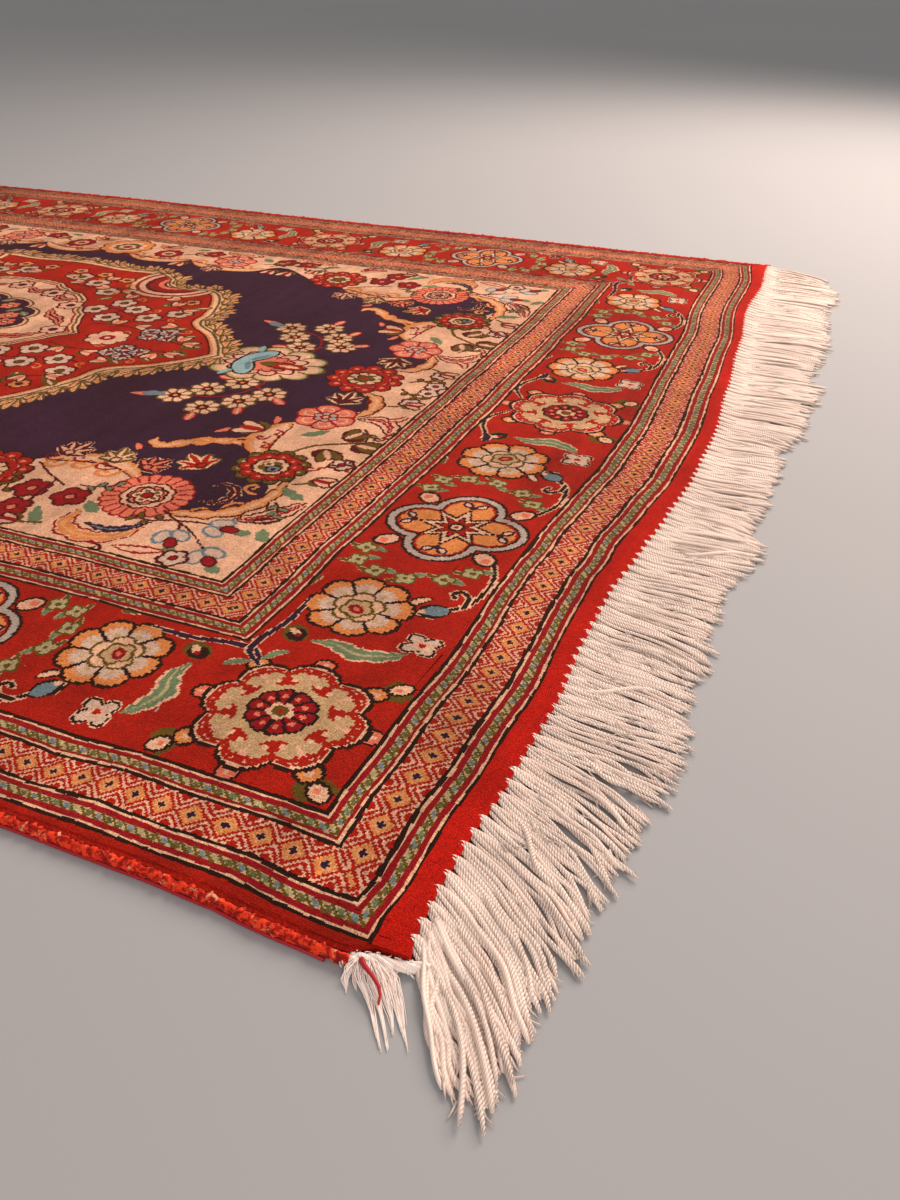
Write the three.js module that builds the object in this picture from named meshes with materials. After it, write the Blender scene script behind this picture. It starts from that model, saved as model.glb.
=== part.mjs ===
import * as THREE from 'three';

// A hand-knotted persian rug lying flat on a floor, in millimetres.
// +X runs along the rug, +Y across it and +Z up. The origin is the middle of the underside.

// Knotted cloth, from one overcast side to the other and from one fringe to the other.
const RUG_LENGTH = 1414;
const RUG_WIDTH = 1010;
const RUG_THICKNESS = 6;
const EDGE_ROUNDING = 1.4;
const PIECE_GAP = 0.3;

// How far each end stands out of a straight line, from its near corner to its far corner.
const END_LIE = [
  { across: -505, out: 0 },
  { across: -300, out: 7 },
  { across: -190, out: 9 },
  { across: -70, out: 18 },
  { across: 0, out: 20 },
  { across: 120, out: 13 },
  { across: 230, out: 2 },
  { across: 310, out: -3 },
  { across: 400, out: 2 },
  { across: 505, out: 0 },
];
const END_STEPS = 40;

// Slow waver of the long sides, which dies out at the corners.
const SIDE_WAVER = 2.4;
const SIDE_WAVES = 2.6;
const SIDE_STEPS = 28;

// Overcast side cord.
const SELVEDGE_WIDTH = 4.6;
const SELVEDGE_HEIGHT = 5.4;
const SELVEDGE_ROUNDING = 1.5;
const SELVEDGE_SHORT = 4;

// Fringe: a narrow knotted head along the end, and the warp locks that lie on the floor.
const HEAD_WIDTH = 3.6;
const FRINGE_HEIGHT = 3.4;
const LOCK_COUNT = 124;
const FIRST_ROOT = -489;
const LAST_ROOT = 497;
const LOCK_LENGTH = 62;
const LOCK_LENGTH_SWING = 4;
const LOCK_WIDTHS = [4.6, 4.8, 4.2, 2];
const NEAR_CORNER_LEAN = { degrees: 52, reach: 95 };
const FAR_CORNER_LEAN = { degrees: 20, reach: 110 };
const LEAN_WAVES = [
  { degrees: 5, length: 152 },
  { degrees: 3, length: 67 },
];
const LEAN_AT_ROOT = 0.5;

// Loose tuft where the side cord ends at the near corner, its locks side by side at the root.
const TUFT_ROOT = { x: 706, y: -504.6, pitch: 2.4, depth: 2.5 };
const TUFT_LOCKS = [
  { lean: 62, length: 20 },
  { lean: 42, length: 27 },
  { lean: 24, length: 17 },
];
const TUFT_WIDTHS = [1.9, 1.9, 1.7, 1];
const TUFT_HEIGHT = 2.6;

const halfLength = RUG_LENGTH / 2;
const halfWidth = RUG_WIDTH / 2;
const clothHalfWidth = halfWidth - SELVEDGE_WIDTH - PIECE_GAP;

function endLie(across) {
  const after = END_LIE.findIndex((row) => row.across >= across);
  const upper = END_LIE[Math.max(after, 1)];
  const lower = END_LIE[Math.max(after, 1) - 1];
  const share = THREE.MathUtils.smoothstep(across, lower.across, upper.across);
  return THREE.MathUtils.lerp(lower.out, upper.out, share);
}

function sideLie(along) {
  const fade = Math.cos(Math.PI * along / RUG_LENGTH);
  return SIDE_WAVER * fade * Math.sin(2 * Math.PI * SIDE_WAVES * along / RUG_LENGTH);
}

function spread(from, to, steps) {
  return Array.from({ length: steps + 1 }, (_, step) => THREE.MathUtils.lerp(from, to, step / steps));
}

function turnedRound(points) {
  return points.map((point) => new THREE.Vector2(-point.x, -point.y));
}

// A flat piece of the given outline and height with its bottom on the floor and its edges eased.
function slab(points, height, rounding) {
  const geometry = new THREE.ExtrudeGeometry(new THREE.Shape(points), {
    depth: height - 2 * rounding,
    bevelEnabled: rounding > 0,
    bevelThickness: rounding,
    bevelSize: rounding,
    bevelOffset: -rounding,
    bevelSegments: 1,
  });
  return geometry.translate(0, 0, rounding);
}

// Outline of one lock: it leaves its root at part of its lean and swings further towards the tip.
function lockOutline(root, lean, length, widths) {
  const steps = widths.length - 1;
  const left = [];
  const right = [];
  const middle = root.clone();
  widths.forEach((width, step) => {
    const turn = LEAN_AT_ROOT + 2 * (1 - LEAN_AT_ROOT) * step / steps;
    const direction = new THREE.Vector2(Math.cos(lean * turn), -Math.sin(lean * turn));
    const across = new THREE.Vector2(-direction.y, direction.x).multiplyScalar(width / 2);
    left.unshift(middle.clone().add(across));
    right.push(middle.clone().sub(across));
    middle.addScaledVector(direction, length / steps);
  });
  return [...right, ...left];
}

function fringeLean(across) {
  const near = NEAR_CORNER_LEAN.degrees * Math.exp((FIRST_ROOT - across) / NEAR_CORNER_LEAN.reach);
  const far = FAR_CORNER_LEAN.degrees * Math.exp((across - LAST_ROOT) / FAR_CORNER_LEAN.reach);
  const waves = LEAN_WAVES.map((wave) => wave.degrees * Math.sin(2 * Math.PI * across / wave.length));
  return THREE.MathUtils.degToRad(near + far + waves.reduce((sum, wave) => sum + wave));
}

function clothGeometry() {
  const nearSide = spread(-halfLength, halfLength, SIDE_STEPS).slice(0, -1)
    .map((along) => new THREE.Vector2(along, -clothHalfWidth - sideLie(along)));
  const rightEnd = spread(-clothHalfWidth, clothHalfWidth, END_STEPS).slice(0, -1)
    .map((across) => new THREE.Vector2(halfLength + endLie(across), across));
  const half = [...nearSide, ...rightEnd];
  return slab([...half, ...turnedRound(half)], RUG_THICKNESS, EDGE_ROUNDING);
}

function selvedgeGeometry() {
  const reach = halfLength - SELVEDGE_SHORT;
  const edge = (offset) => spread(-reach, reach, SIDE_STEPS)
    .map((along) => new THREE.Vector2(along, -offset - sideLie(along)));
  const inner = edge(clothHalfWidth + PIECE_GAP);
  const outer = edge(halfWidth);
  return slab([...outer, ...inner.reverse()], SELVEDGE_HEIGHT, SELVEDGE_ROUNDING);
}

// The head's edge beside the cloth and the locks that grow from it are one outline.
function fringeGeometry() {
  const headReach = LOCK_WIDTHS[0];
  const headEdge = spread(LAST_ROOT + headReach, FIRST_ROOT - headReach, END_STEPS)
    .map((across) => new THREE.Vector2(halfLength + endLie(across) + PIECE_GAP, across));
  const locks = spread(FIRST_ROOT, LAST_ROOT, LOCK_COUNT - 1).flatMap((across, index) => {
    const root = new THREE.Vector2(halfLength + endLie(across) + PIECE_GAP + HEAD_WIDTH, across);
    const length = LOCK_LENGTH + LOCK_LENGTH_SWING * Math.sin(index);
    return lockOutline(root, fringeLean(across), length, LOCK_WIDTHS);
  });
  return slab([...headEdge, ...locks], FRINGE_HEIGHT, 0);
}

function tuftGeometry() {
  const { x, y, pitch, depth } = TUFT_ROOT;
  const middle = (TUFT_LOCKS.length - 1) / 2;
  const headReach = pitch * (middle + 0.5);
  const headEdge = [headReach, -headReach].map((across) => new THREE.Vector2(x - depth, y + across));
  const locks = TUFT_LOCKS.flatMap(({ lean, length }, index) => {
    const root = new THREE.Vector2(x, y + pitch * (index - middle));
    return lockOutline(root, THREE.MathUtils.degToRad(lean), length, TUFT_WIDTHS);
  });
  return slab([...headEdge, ...locks], TUFT_HEIGHT, 0);
}

function piece(name, geometry, color, roughness, turned = false) {
  const material = new THREE.MeshStandardMaterial({ color, roughness, metalness: 0 });
  const mesh = new THREE.Mesh(geometry, material);
  mesh.name = name;
  mesh.rotation.z = turned ? Math.PI : 0;
  return mesh;
}

const rug = new THREE.Group();
rug.add(
  piece('knotted_cloth', clothGeometry(), '#a4241c', 0.9),
  piece('selvedge_near', selvedgeGeometry(), '#c4241a', 0.8),
  piece('selvedge_far', selvedgeGeometry(), '#c4241a', 0.8, true),
  piece('fringe_right', fringeGeometry(), '#e8cdb4', 0.75),
  piece('fringe_left', fringeGeometry(), '#e8cdb4', 0.75, true),
  piece('selvedge_tuft', tuftGeometry(), '#e8d4c0', 0.8),
);

export default rug;
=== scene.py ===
import math

import bpy
import numpy as np
from mathutils import Matrix, Vector


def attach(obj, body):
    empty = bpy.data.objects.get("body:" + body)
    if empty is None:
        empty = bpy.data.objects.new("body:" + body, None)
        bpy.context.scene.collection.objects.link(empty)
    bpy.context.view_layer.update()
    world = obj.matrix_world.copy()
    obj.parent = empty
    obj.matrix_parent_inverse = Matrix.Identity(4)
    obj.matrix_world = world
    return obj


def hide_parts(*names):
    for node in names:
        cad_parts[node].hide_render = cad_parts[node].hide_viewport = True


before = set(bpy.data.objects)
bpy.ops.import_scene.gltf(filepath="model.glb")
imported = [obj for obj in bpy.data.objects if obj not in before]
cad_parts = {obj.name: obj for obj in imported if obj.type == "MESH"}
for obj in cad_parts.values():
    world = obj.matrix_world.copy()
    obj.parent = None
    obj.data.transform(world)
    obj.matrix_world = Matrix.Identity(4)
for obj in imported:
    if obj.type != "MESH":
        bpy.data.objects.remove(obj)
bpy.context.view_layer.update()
scene = bpy.context.scene

# Floor, light and camera: a pale floor under one broad warm light from the far right,
# a weak fill from the near left and an even grey surround, seen from the photo's place.
FLOOR_COLOUR = "#A0A1A4"
CAMERA_PLACE = (0.8005, -0.6960, 0.2972)
CAMERA_AZIMUTH, CAMERA_ELEVATION, CAMERA_ROLL = 21.907, 32.949, 0.585
LENS_MM = 29.96
KEY_LIGHT = {"name": "key_light", "place": (1.15, 1.35, 1.35), "size": 1.5, "watts": 66, "colour": "#FFE9DA"}
FILL_LIGHT = {"name": "fill_light", "place": (1.5, -1.9, 1.2), "size": 1.6, "watts": 19, "colour": "#FFF1EA"}
SURROUND = ("#F1ECE8", 0.49)


def linear(hex_colour):
    """Linear RGBA of an sRGB hex colour."""
    srgb = np.array([int(hex_colour[i:i + 2], 16) for i in (1, 3, 5)]) / 255
    rgb = np.where(srgb <= 0.04045, srgb / 12.92, ((srgb + 0.055) / 1.055) ** 2.4)
    return (*(float(value) for value in rgb), 1.0)


def add_node(tree, kind, settings=(), **links):
    """A shader node with its settings, and its inputs set or linked by name (spaces as underscores)."""
    node = tree.nodes.new("ShaderNode" + kind)
    for key, value in dict(settings).items():
        setattr(node, key, value)
    for key, value in links.items():
        socket = node.inputs[int(key[1:])] if key[1:].isdigit() else node.inputs[key.replace("_", " ")]
        if isinstance(value, bpy.types.NodeSocket):
            tree.links.new(value, socket)
        else:
            socket.default_value = value
    return node


def new_material(name, **surface):
    """A material and its node tree with one Principled surface, the given sockets set on it."""
    material = bpy.data.materials.new(name)
    material.use_nodes = True
    shader = material.node_tree.nodes["Principled BSDF"]
    for key, value in surface.items():
        shader.inputs[key.replace("_", " ")].default_value = value
    return material, material.node_tree, shader


def new_piece(name, points, faces, material):
    """A mesh object of its own from points (m) and faces, as lists or arrays."""
    mesh = bpy.data.meshes.new(name)
    mesh.from_pydata(np.asarray(points).tolist(), [], faces if isinstance(faces, list) else faces.tolist())
    mesh.materials.append(material)
    piece = bpy.data.objects.new(name, mesh)
    scene.collection.objects.link(piece)
    return piece


def soft_light(name, place, size, watts, colour):
    """A square area light that looks at the middle of the view."""
    light = bpy.data.lights.new(name, "AREA")
    light.size = size
    light.energy = watts
    light.color = linear(colour)[:3]
    lamp = bpy.data.objects.new(name, light)
    lamp.location = place
    lamp.rotation_euler = (Vector((0.2, 0, 0)) - Vector(place)).to_track_quat("-Z", "Y").to_euler()
    scene.collection.objects.link(lamp)


soft_light(**KEY_LIGHT)
soft_light(**FILL_LIGHT)
scene.world = bpy.data.worlds.new("surround")
scene.world.use_nodes = True
scene.world.node_tree.nodes["Background"].inputs["Color"].default_value = linear(SURROUND[0])
scene.world.node_tree.nodes["Background"].inputs["Strength"].default_value = SURROUND[1]
scene.view_settings.view_transform = "Standard"

# Painted floor: pale grey and matt, with faint clouds more than a metre across.
FLOOR_REACH, FLOOR_CLOUD = 40.0, 4 / 3
floor_material, tree, shader = new_material("painted_floor", Roughness=0.75)
clouds = add_node(tree, "TexNoise", Scale=2 * FLOOR_REACH / FLOOR_CLOUD, Detail=4.0)
shade = add_node(tree, "MixRGB", {"blend_type": "MULTIPLY"}, Fac=0.12, Color1=linear(FLOOR_COLOUR),
                 Color2=clouds.outputs["Fac"])
tree.links.new(shade.outputs["Color"], shader.inputs["Base Color"])
floor_corners = [(x * FLOOR_REACH, y * FLOOR_REACH, 0) for x, y in ((-1, -1), (1, -1), (1, 1), (-1, 1))]
floor = new_piece("floor", floor_corners, [(0, 1, 2, 3)], floor_material)

turn, tip, roll = (math.radians(angle) for angle in (CAMERA_AZIMUTH, CAMERA_ELEVATION, CAMERA_ROLL))
back = Vector((math.sin(turn) * math.cos(tip), -math.cos(turn) * math.cos(tip), math.sin(tip)))
right = Vector((0, 0, 1)).cross(back).normalized()
up = back.cross(right)
camera = bpy.data.objects.new("camera", bpy.data.cameras.new("camera"))
camera.data.lens = LENS_MM
camera.data.sensor_width = 36
camera.data.clip_start = 0.02
camera.matrix_world = Matrix.Translation(CAMERA_PLACE) @ Matrix((
    math.cos(roll) * right + math.sin(roll) * up,
    math.cos(roll) * up - math.sin(roll) * right,
    back,
)).transposed().to_4x4()
scene.collection.objects.link(camera)
scene.camera = camera

# Ground cloth: a cotton warp and weft that every knot is tied to. It lies flat, its ends bowed out
# a little and its sides wavering, and its cut edge shows as the red wool of the last knots. Sizes are in mm.
RUG_LENGTH, RUG_WIDTH = 1414, 1010
SELVEDGE_WIDTH, PIECE_GAP = 4.6, 0.3
CLOTH_TOP, EDGE_ROUNDING = 5.2, 1.4
# How far an end stands out of a straight line (mm), by the place across it.
END_LIE = {-505: -1, -470: -4, -440: -3, -400: 1, -335: 4, -290: 2, -236: 3, -190: 8, -140: 13, -80: 18,
           0: 19, 96: 13, 205: 6, 330: -4, 400: -1, 490: -6, 505: -6}
END_LIE_REACH = 205
# The main border of an end creeps out further than that, and slips along the end.
BORDER_CREEP = {-505: -2, -400: -4, -300: 0, -190: 3, -80: 7, 0: 8, 100: 8, 205: 9, 312: 6, 420: 3, 505: -3}
BORDER_SLIP = {-505: 0, -400: 4.5, -300: -3, -100: -2, 0: -4, 100: -6.5, 200: -3, 300: 0, 400: 4.5, 505: 0}
CREEP_FROM, CREEP_FULL, CREEP_TO = 430, 590, 690
# The outer guard is drawn out further still in the half of an end next to the worn corner.
GUARD_CREEP = {-505: 2, -486: 4, -465: 8, -400: 9, -350: 7.5, -300: 6, -250: 4.5, -215: 2, -185: 0, 505: 0}
GUARD_FROM, GUARD_FULL = 600, 680
# One corner, at the right end of the near side, has lost its last knots.
CORNER_WEAR, CORNER_FROM, CORNER_RAMP = 5.6, 685, 8
# The red edge outside the outer guard starts this far from the rug's middle line.
EDGE_FROM = 491.7
SIDE_WAVER, SIDE_WAVES = 2.4, 2.6
# Each side is drawn in before the end on its right, and the guard sags towards it at the corner.
SIDE_DRAW = {-707: 0, 250: 0, 530: 7.5, 595: 7, 625: 5.5, 652: 2.7, 685: 1, 707: 0.5}
GUARD_SAG = {-707: 0, 630: 0, 665: 3, 690: 3.5, 707: 3}
SAG_FROM, SAG_FULL = 440, 485
half_length, half_width = RUG_LENGTH / 2, RUG_WIDTH / 2
cloth_half_width = half_width - SELVEDGE_WIDTH - PIECE_GAP
MM = 0.001


def eased(at, rows):
    """A value at any place, eased from one given place to the next."""
    places, values = np.array(list(rows)), np.array(list(rows.values()))
    step = np.clip(np.searchsorted(places, at), 1, len(places) - 1)
    share = np.clip((at - places[step - 1]) / (places[step] - places[step - 1]), 0, 1)
    return values[step - 1] + (values[step] - values[step - 1]) * share ** 2 * (3 - 2 * share)


def side_lie(along):
    """How far a long side wavers out of a straight line (mm), nothing at its ends."""
    fade = np.cos(np.pi * np.clip(along, -half_length, half_length) / RUG_LENGTH)
    return SIDE_WAVER * fade * np.sin(2 * np.pi * SIDE_WAVES * along / RUG_LENGTH)


def lie(along, across, height):
    """Points (m) of the rug as it lies, from places on the flat cloth (mm)."""
    end, side = np.sign(along), np.sign(across)
    pull = np.clip((abs(along) - half_length + END_LIE_REACH) / END_LIE_REACH, 0, 1.2) ** 1.6
    creep = np.interp(abs(along), (CREEP_FROM, CREEP_FULL, CREEP_TO, half_length), (0, 1, 1, 0))
    guard = np.interp(abs(along), (GUARD_FROM, GUARD_FULL, CREEP_TO, half_length), (0, 1, 1, 0))
    out = eased(end * across, END_LIE) * pull + eased(end * across, BORDER_CREEP) * creep
    x = along + end * (out + eased(end * across, GUARD_CREEP) * guard)
    y = across + end * eased(end * across, BORDER_SLIP) * creep
    y = y + side * side_lie(-side * along) * (across / half_width) ** 2
    drawn = np.interp(abs(across), (SAG_FROM, EDGE_FROM, cloth_half_width), (0, 0.35, 1))
    sag = np.interp(abs(across), (SAG_FROM, SAG_FULL, EDGE_FROM, cloth_half_width), (0, 1, 1, 0))
    y = y + side * (eased(-side * along, GUARD_SAG) * sag - eased(-side * along, SIDE_DRAW) * drawn)
    worn = np.clip((along - CORNER_FROM) / CORNER_RAMP, 0, 1)
    worn = worn * np.clip((-across - EDGE_FROM) / (cloth_half_width - EDGE_FROM), 0, 1.2)
    return np.stack([x, y + CORNER_WEAR * worn, height + 0 * x], -1) * MM


def rim(inset, steps_long=60, steps_wide=56):
    """The cloth's outline, going round once, pulled in by inset (mm), with more points at the worn corner."""
    reach, spread = half_length - inset, cloth_half_width - inset
    long = np.linspace(-reach, reach, steps_long, endpoint=False)
    long = np.sort(np.append(long, np.arange(CORNER_FROM, half_length - 5, CORNER_RAMP / 2)))
    wide = np.linspace(-spread, spread, steps_wide, endpoint=False)
    along = np.concatenate([long, 0 * wide + reach, -long, 0 * wide - reach])
    across = np.concatenate([0 * long - spread, wide, 0 * long + spread, -wide])
    return along, across


levels = [(EDGE_ROUNDING, 0), (0, EDGE_ROUNDING), (0, CLOTH_TOP - EDGE_ROUNDING), (EDGE_ROUNDING, CLOTH_TOP)]
rings = [lie(*rim(inset), height) for inset, height in levels]
count = len(rings[0])
around = np.arange(count)
ahead = np.roll(around, -1)
wall = np.stack([around, ahead, ahead + count, around + count], -1)
cloth_faces = [tuple(face) for level in range(len(levels) - 1) for face in (wall + level * count).tolist()]
cloth_faces += [tuple(range(count))[::-1], tuple(range(3 * count, 4 * count))]

# Cotton ground under wool: matt, the underside a fine grid of knot backs, the edge red.
# A course of the brick pattern is a quarter of its unit.
KNOT_BACK, EDGE_RED_FROM = 1.4, 0.9
cotton, tree, shader = new_material("cotton_ground_and_wool_edge", Roughness=0.92, Specular_IOR_Level=0.2)
place = add_node(tree, "TexCoord")
backs = add_node(tree, "TexBrick", {"offset": 0.5}, Vector=place.outputs["Object"], Mortar_Size=0.05,
                 Scale=0.25 / (KNOT_BACK * MM), Color1=linear("#9C2A1E"), Color2=linear("#B58A6A"),
                 Mortar=linear("#CBB59A"))
height = add_node(tree, "SeparateXYZ", Vector=place.outputs["Object"])
above = add_node(tree, "Math", {"operation": "GREATER_THAN"}, i0=height.outputs["Z"], i1=EDGE_RED_FROM * MM)
edge = add_node(tree, "MixRGB", Fac=above.outputs["Value"], Color1=backs.outputs["Color"],
                Color2=linear("#A51A10"))
tree.links.new(edge.outputs["Color"], shader.inputs["Base Color"])

ground_cloth = new_piece("ground_cloth", np.concatenate(rings), cloth_faces, cotton)
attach(ground_cloth, "root")
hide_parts("knotted_cloth")

# Pile: knots of dyed wool, tied to the ground cloth row by row and sheared level. A quarter of the drawing
# is charted first. A place is a complex number of mm from the rug's middle, real along, imaginary across;
# a shape is a distance in mm, negative inside. The chart's knots are finer than real, for clean curves.
KNOT = 1.1
HALF_KNOTS = 643, 455
# The bands start this many knots from the middle, counted across, and as many more along.
INNER_GUARD, MAIN_BORDER, OUTER_GUARD, RED_EDGE = 281, 323, 405, 447
END_SHIFT = 182
yarns = {
    "edge": "#AE160B", "red": "#98180C", "black": "#22130E", "cream": "#CFA282", "pink": "#CF9B80",
    "orange": "#C67A43", "navy": "#28172C", "crimson": "#860F18", "beige": "#B4926A", "lilac": "#BFA08C",
    "salmon": "#CB6A52", "sky": "#5F747C", "green": "#617354", "olive": "#594617", "grey": "#A39389",
    "moss": "#A1946C", "sand": "#D2A283", "maroon": "#481112", "reed": "#5A5630", "slate": "#66727A",
    "tan": "#C98C5E", "sage": "#5F6E50", "pale_sky": "#7E9FA0",
}
yarn = {name: number for number, name in enumerate(yarns)}

along = (np.arange(HALF_KNOTS[0])[:, None] + 0.5) * KNOT
across = (np.arange(HALF_KNOTS[1])[None, :] + 0.5) * KNOT
rows, columns = np.indices(HALF_KNOTS)
ring = np.maximum(rows - END_SHIFT, columns)
run = np.minimum(rows - END_SHIFT, columns)
knots = along + 1j * across
chart = np.full(ring.shape, yarn["edge"], np.uint8)
chart[(ring < RED_EDGE) | (rows - END_SHIFT < columns)] = yarn["red"]
chart[ring < INNER_GUARD] = yarn["sand"]


def near(place, reach, facing=1, mirror=False):
    """The knots round a place, and where each one is seen from there."""
    low = np.maximum(np.array([place.real - reach, place.imag - reach]) / KNOT, 0).astype(int)
    high = (np.array([place.real + reach, place.imag + reach]) / KNOT + 1).astype(int)
    window = slice(low[0], max(high[0], 0)), slice(low[1], max(high[1], 0))
    seen = (knots[window] - place) / facing
    return chart[window], np.conj(seen) if mirror else seen


def disc(z, centre, radius):
    return abs(z - centre) - radius


def oval(z, centre, long, wide, turn=0.0):
    w = (z - centre) * np.exp(-1j * np.radians(turn))
    return (np.hypot(w.real / long, w.imag / wide) - 1) * wide


def folded(z, count, turn=0.0):
    """Places folded into one of so many equal sectors, so that one petal drawn there is all of them."""
    step = 2 * np.pi / count
    angle = np.angle(z) - np.radians(turn)
    return abs(z) * np.exp(1j * ((angle + step / 2) % step - step / 2))


def scallop(z, count, valley, crest, turn=0.0, power=0.6):
    """A round shape with so many lobes."""
    wave = abs(np.cos(count / 2 * (np.angle(z) - np.radians(turn)))) ** power
    return abs(z) - valley - (crest - valley) * wave


def curve(points, steps=14):
    """A smooth line through points."""
    p = np.array([2 * points[0] - points[1], *points, 2 * points[-1] - points[-2]])
    t = np.linspace(0, 1, steps, endpoint=False)[:, None]
    a, b, c, d = p[:-3], p[1:-2], p[2:-1], p[3:]
    q = 0.5 * (2 * b + (c - a) * t + (2 * a - 5 * b + 4 * c - d) * t ** 2 + (3 * b - a - 3 * c + d) * t ** 3)
    return np.append(q.T.ravel(), points[-1])


def vine(z, points, half_width, leaf=0.0, teeth=0):
    """A line of some width along points; leaf tapers both its ends and teeth cut its sides."""
    path = curve(points)
    share = np.linspace(0, 1, len(path))
    width = half_width * np.sin(np.pi * np.clip(share * 0.94 + 0.03, 0, 1)) ** leaf
    if teeth:
        width = width * (1 - 0.55 * (share * teeth % 1))
    return (abs(z[..., None] - path) - width).min(-1)


def region(z, points):
    """The inside of a closed line through points."""
    path = curve(points, 5)
    inside = np.zeros(z.shape, bool)
    for a, b in zip(path, np.roll(path, -1)):
        if a.imag != b.imag:
            crosses = (a.imag > z.imag) != (b.imag > z.imag)
            inside ^= crosses & (z.real < (b.real - a.real) * (z.imag - a.imag) / (b.imag - a.imag) + a.real)
    gap = np.full(z.shape, 1e9)
    for a, b in zip(path[:-1], path[1:]):
        along_edge = np.clip(((z - a) / (b - a)).real, 0, 1)
        gap = np.minimum(gap, abs(z - a - along_edge * (b - a)))
    return np.where(inside, -gap, gap)


def fill(view, shape, name):
    """Ties one yarn to the knots inside a shape."""
    view[shape < 0] = yarn[name]


def bands(view, shape, *layers):
    """Yarns one inside the other, each from its depth (mm) within the outline."""
    for depth, name in layers:
        fill(view, shape + depth, name)


def discs(view, z, centre, *layers):
    for radius, name in layers:
        fill(view, disc(z, centre, radius), name)


def ovals(view, z, centre, turn, *layers):
    for long, wide, name in layers:
        fill(view, oval(z, centre, long, wide, turn), name)


def vines(view, z, points, layers, leaf=0.0, teeth=0):
    for half_width, name in layers:
        fill(view, vine(z, points, half_width, leaf, teeth), name)

# Main border: red wool with a motif every 100 mm, in the order rosette, peony, quatrefoil, peony, joined
# by vines. A rosette stands in each corner, and the peonies turn their faces by pairs.
PITCH = 100.1
# Middle lines of the border along an end and along a side.
end_line, side_line = 600.6, 400.4
corner = end_line + 1j * side_line


def sprig_leaf(view, z, root, tip, half_width, edge, body):
    """A small bent leaf with an outline."""
    bend = (root + tip) / 2 + (tip - root) * 0.12j
    vines(view, z, [root, bend, tip], [(half_width + 1.1, edge), (half_width, body)], 0.8)


def rosette(place, facing, hearts):
    """Eight notched lobes with a knob on each, and a bud in leaves beyond some of the knobs."""
    view, z = near(place, 62, facing)
    for knob in range(8):
        ray = np.exp(1j * np.radians(45 * knob))
        size = 5.4 if knob % 2 else 4.4
        if knob in hearts:
            for side in (7j, -7j):
                sprig_leaf(view, z, ray * 44, ray * 56 + side * ray, 3, "olive", "olive")
            ovals(view, z, ray * 54, 45 * knob, (6.6, 5.2, "black"), (5.4, 4, "cream"))
            fill(view, disc(z, ray * 53, 1.6), "salmon")
        discs(view, z, ray * 41.5, (size + 1.3, "black"), (size, "orange" if knob % 2 else "salmon"))
        fill(view, disc(z, ray * 42.2, size - 3), "pink")
    lobes = scallop(z, 8, 31, 38.5)
    bands(view, lobes, (-2.0, "black"), (0, "cream"), (1.6, "red"), (2.8, "pink"), (4.2, "beige"))
    fold = folded(z, 8)
    half = fold.real + 1j * abs(fold.imag)
    fill(view, np.maximum(disc(half, 27.4 + 6.2j, 7.0), lobes + 3.4), "red")
    fill(view, np.maximum(disc(half, 25.8 + 5.0j, 5.7), lobes + 5.4), "beige")
    fill(view, disc(half, 22.4 + 7.0j, 3.2), "red")
    fill(view, disc(half, 23.4 + 6.0j, 1.8), "cream")
    fill(view, oval(half, 30.5, 7.0, 1.7), "pink")
    fill(view, oval(half, 34, 2.6, 2.2), "red")
    notch = abs(abs(np.angle(fold)) - np.pi / 8) * abs(z) - 1.1
    fill(view, np.maximum(notch, abs(abs(z) - 26.5) - 5.5), "red")
    fill(view, scallop(z, 10, 15, 16.6), "black")
    fill(view, scallop(z, 10, 13.8, 15.4), "crimson")
    spoke = np.maximum(abs(folded(z, 10, 18).imag) - 0.7, abs(abs(z) - 10) - 5)
    fill(view, spoke, "black")
    fill(view, disc(folded(z, 10), 10.6, 1.7), "salmon")
    fill(view, scallop(z, 5, 4.4, 7, 10), "cream")
    discs(view, z, 0, (3.4, "olive"), (1.7, "red"))


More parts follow.
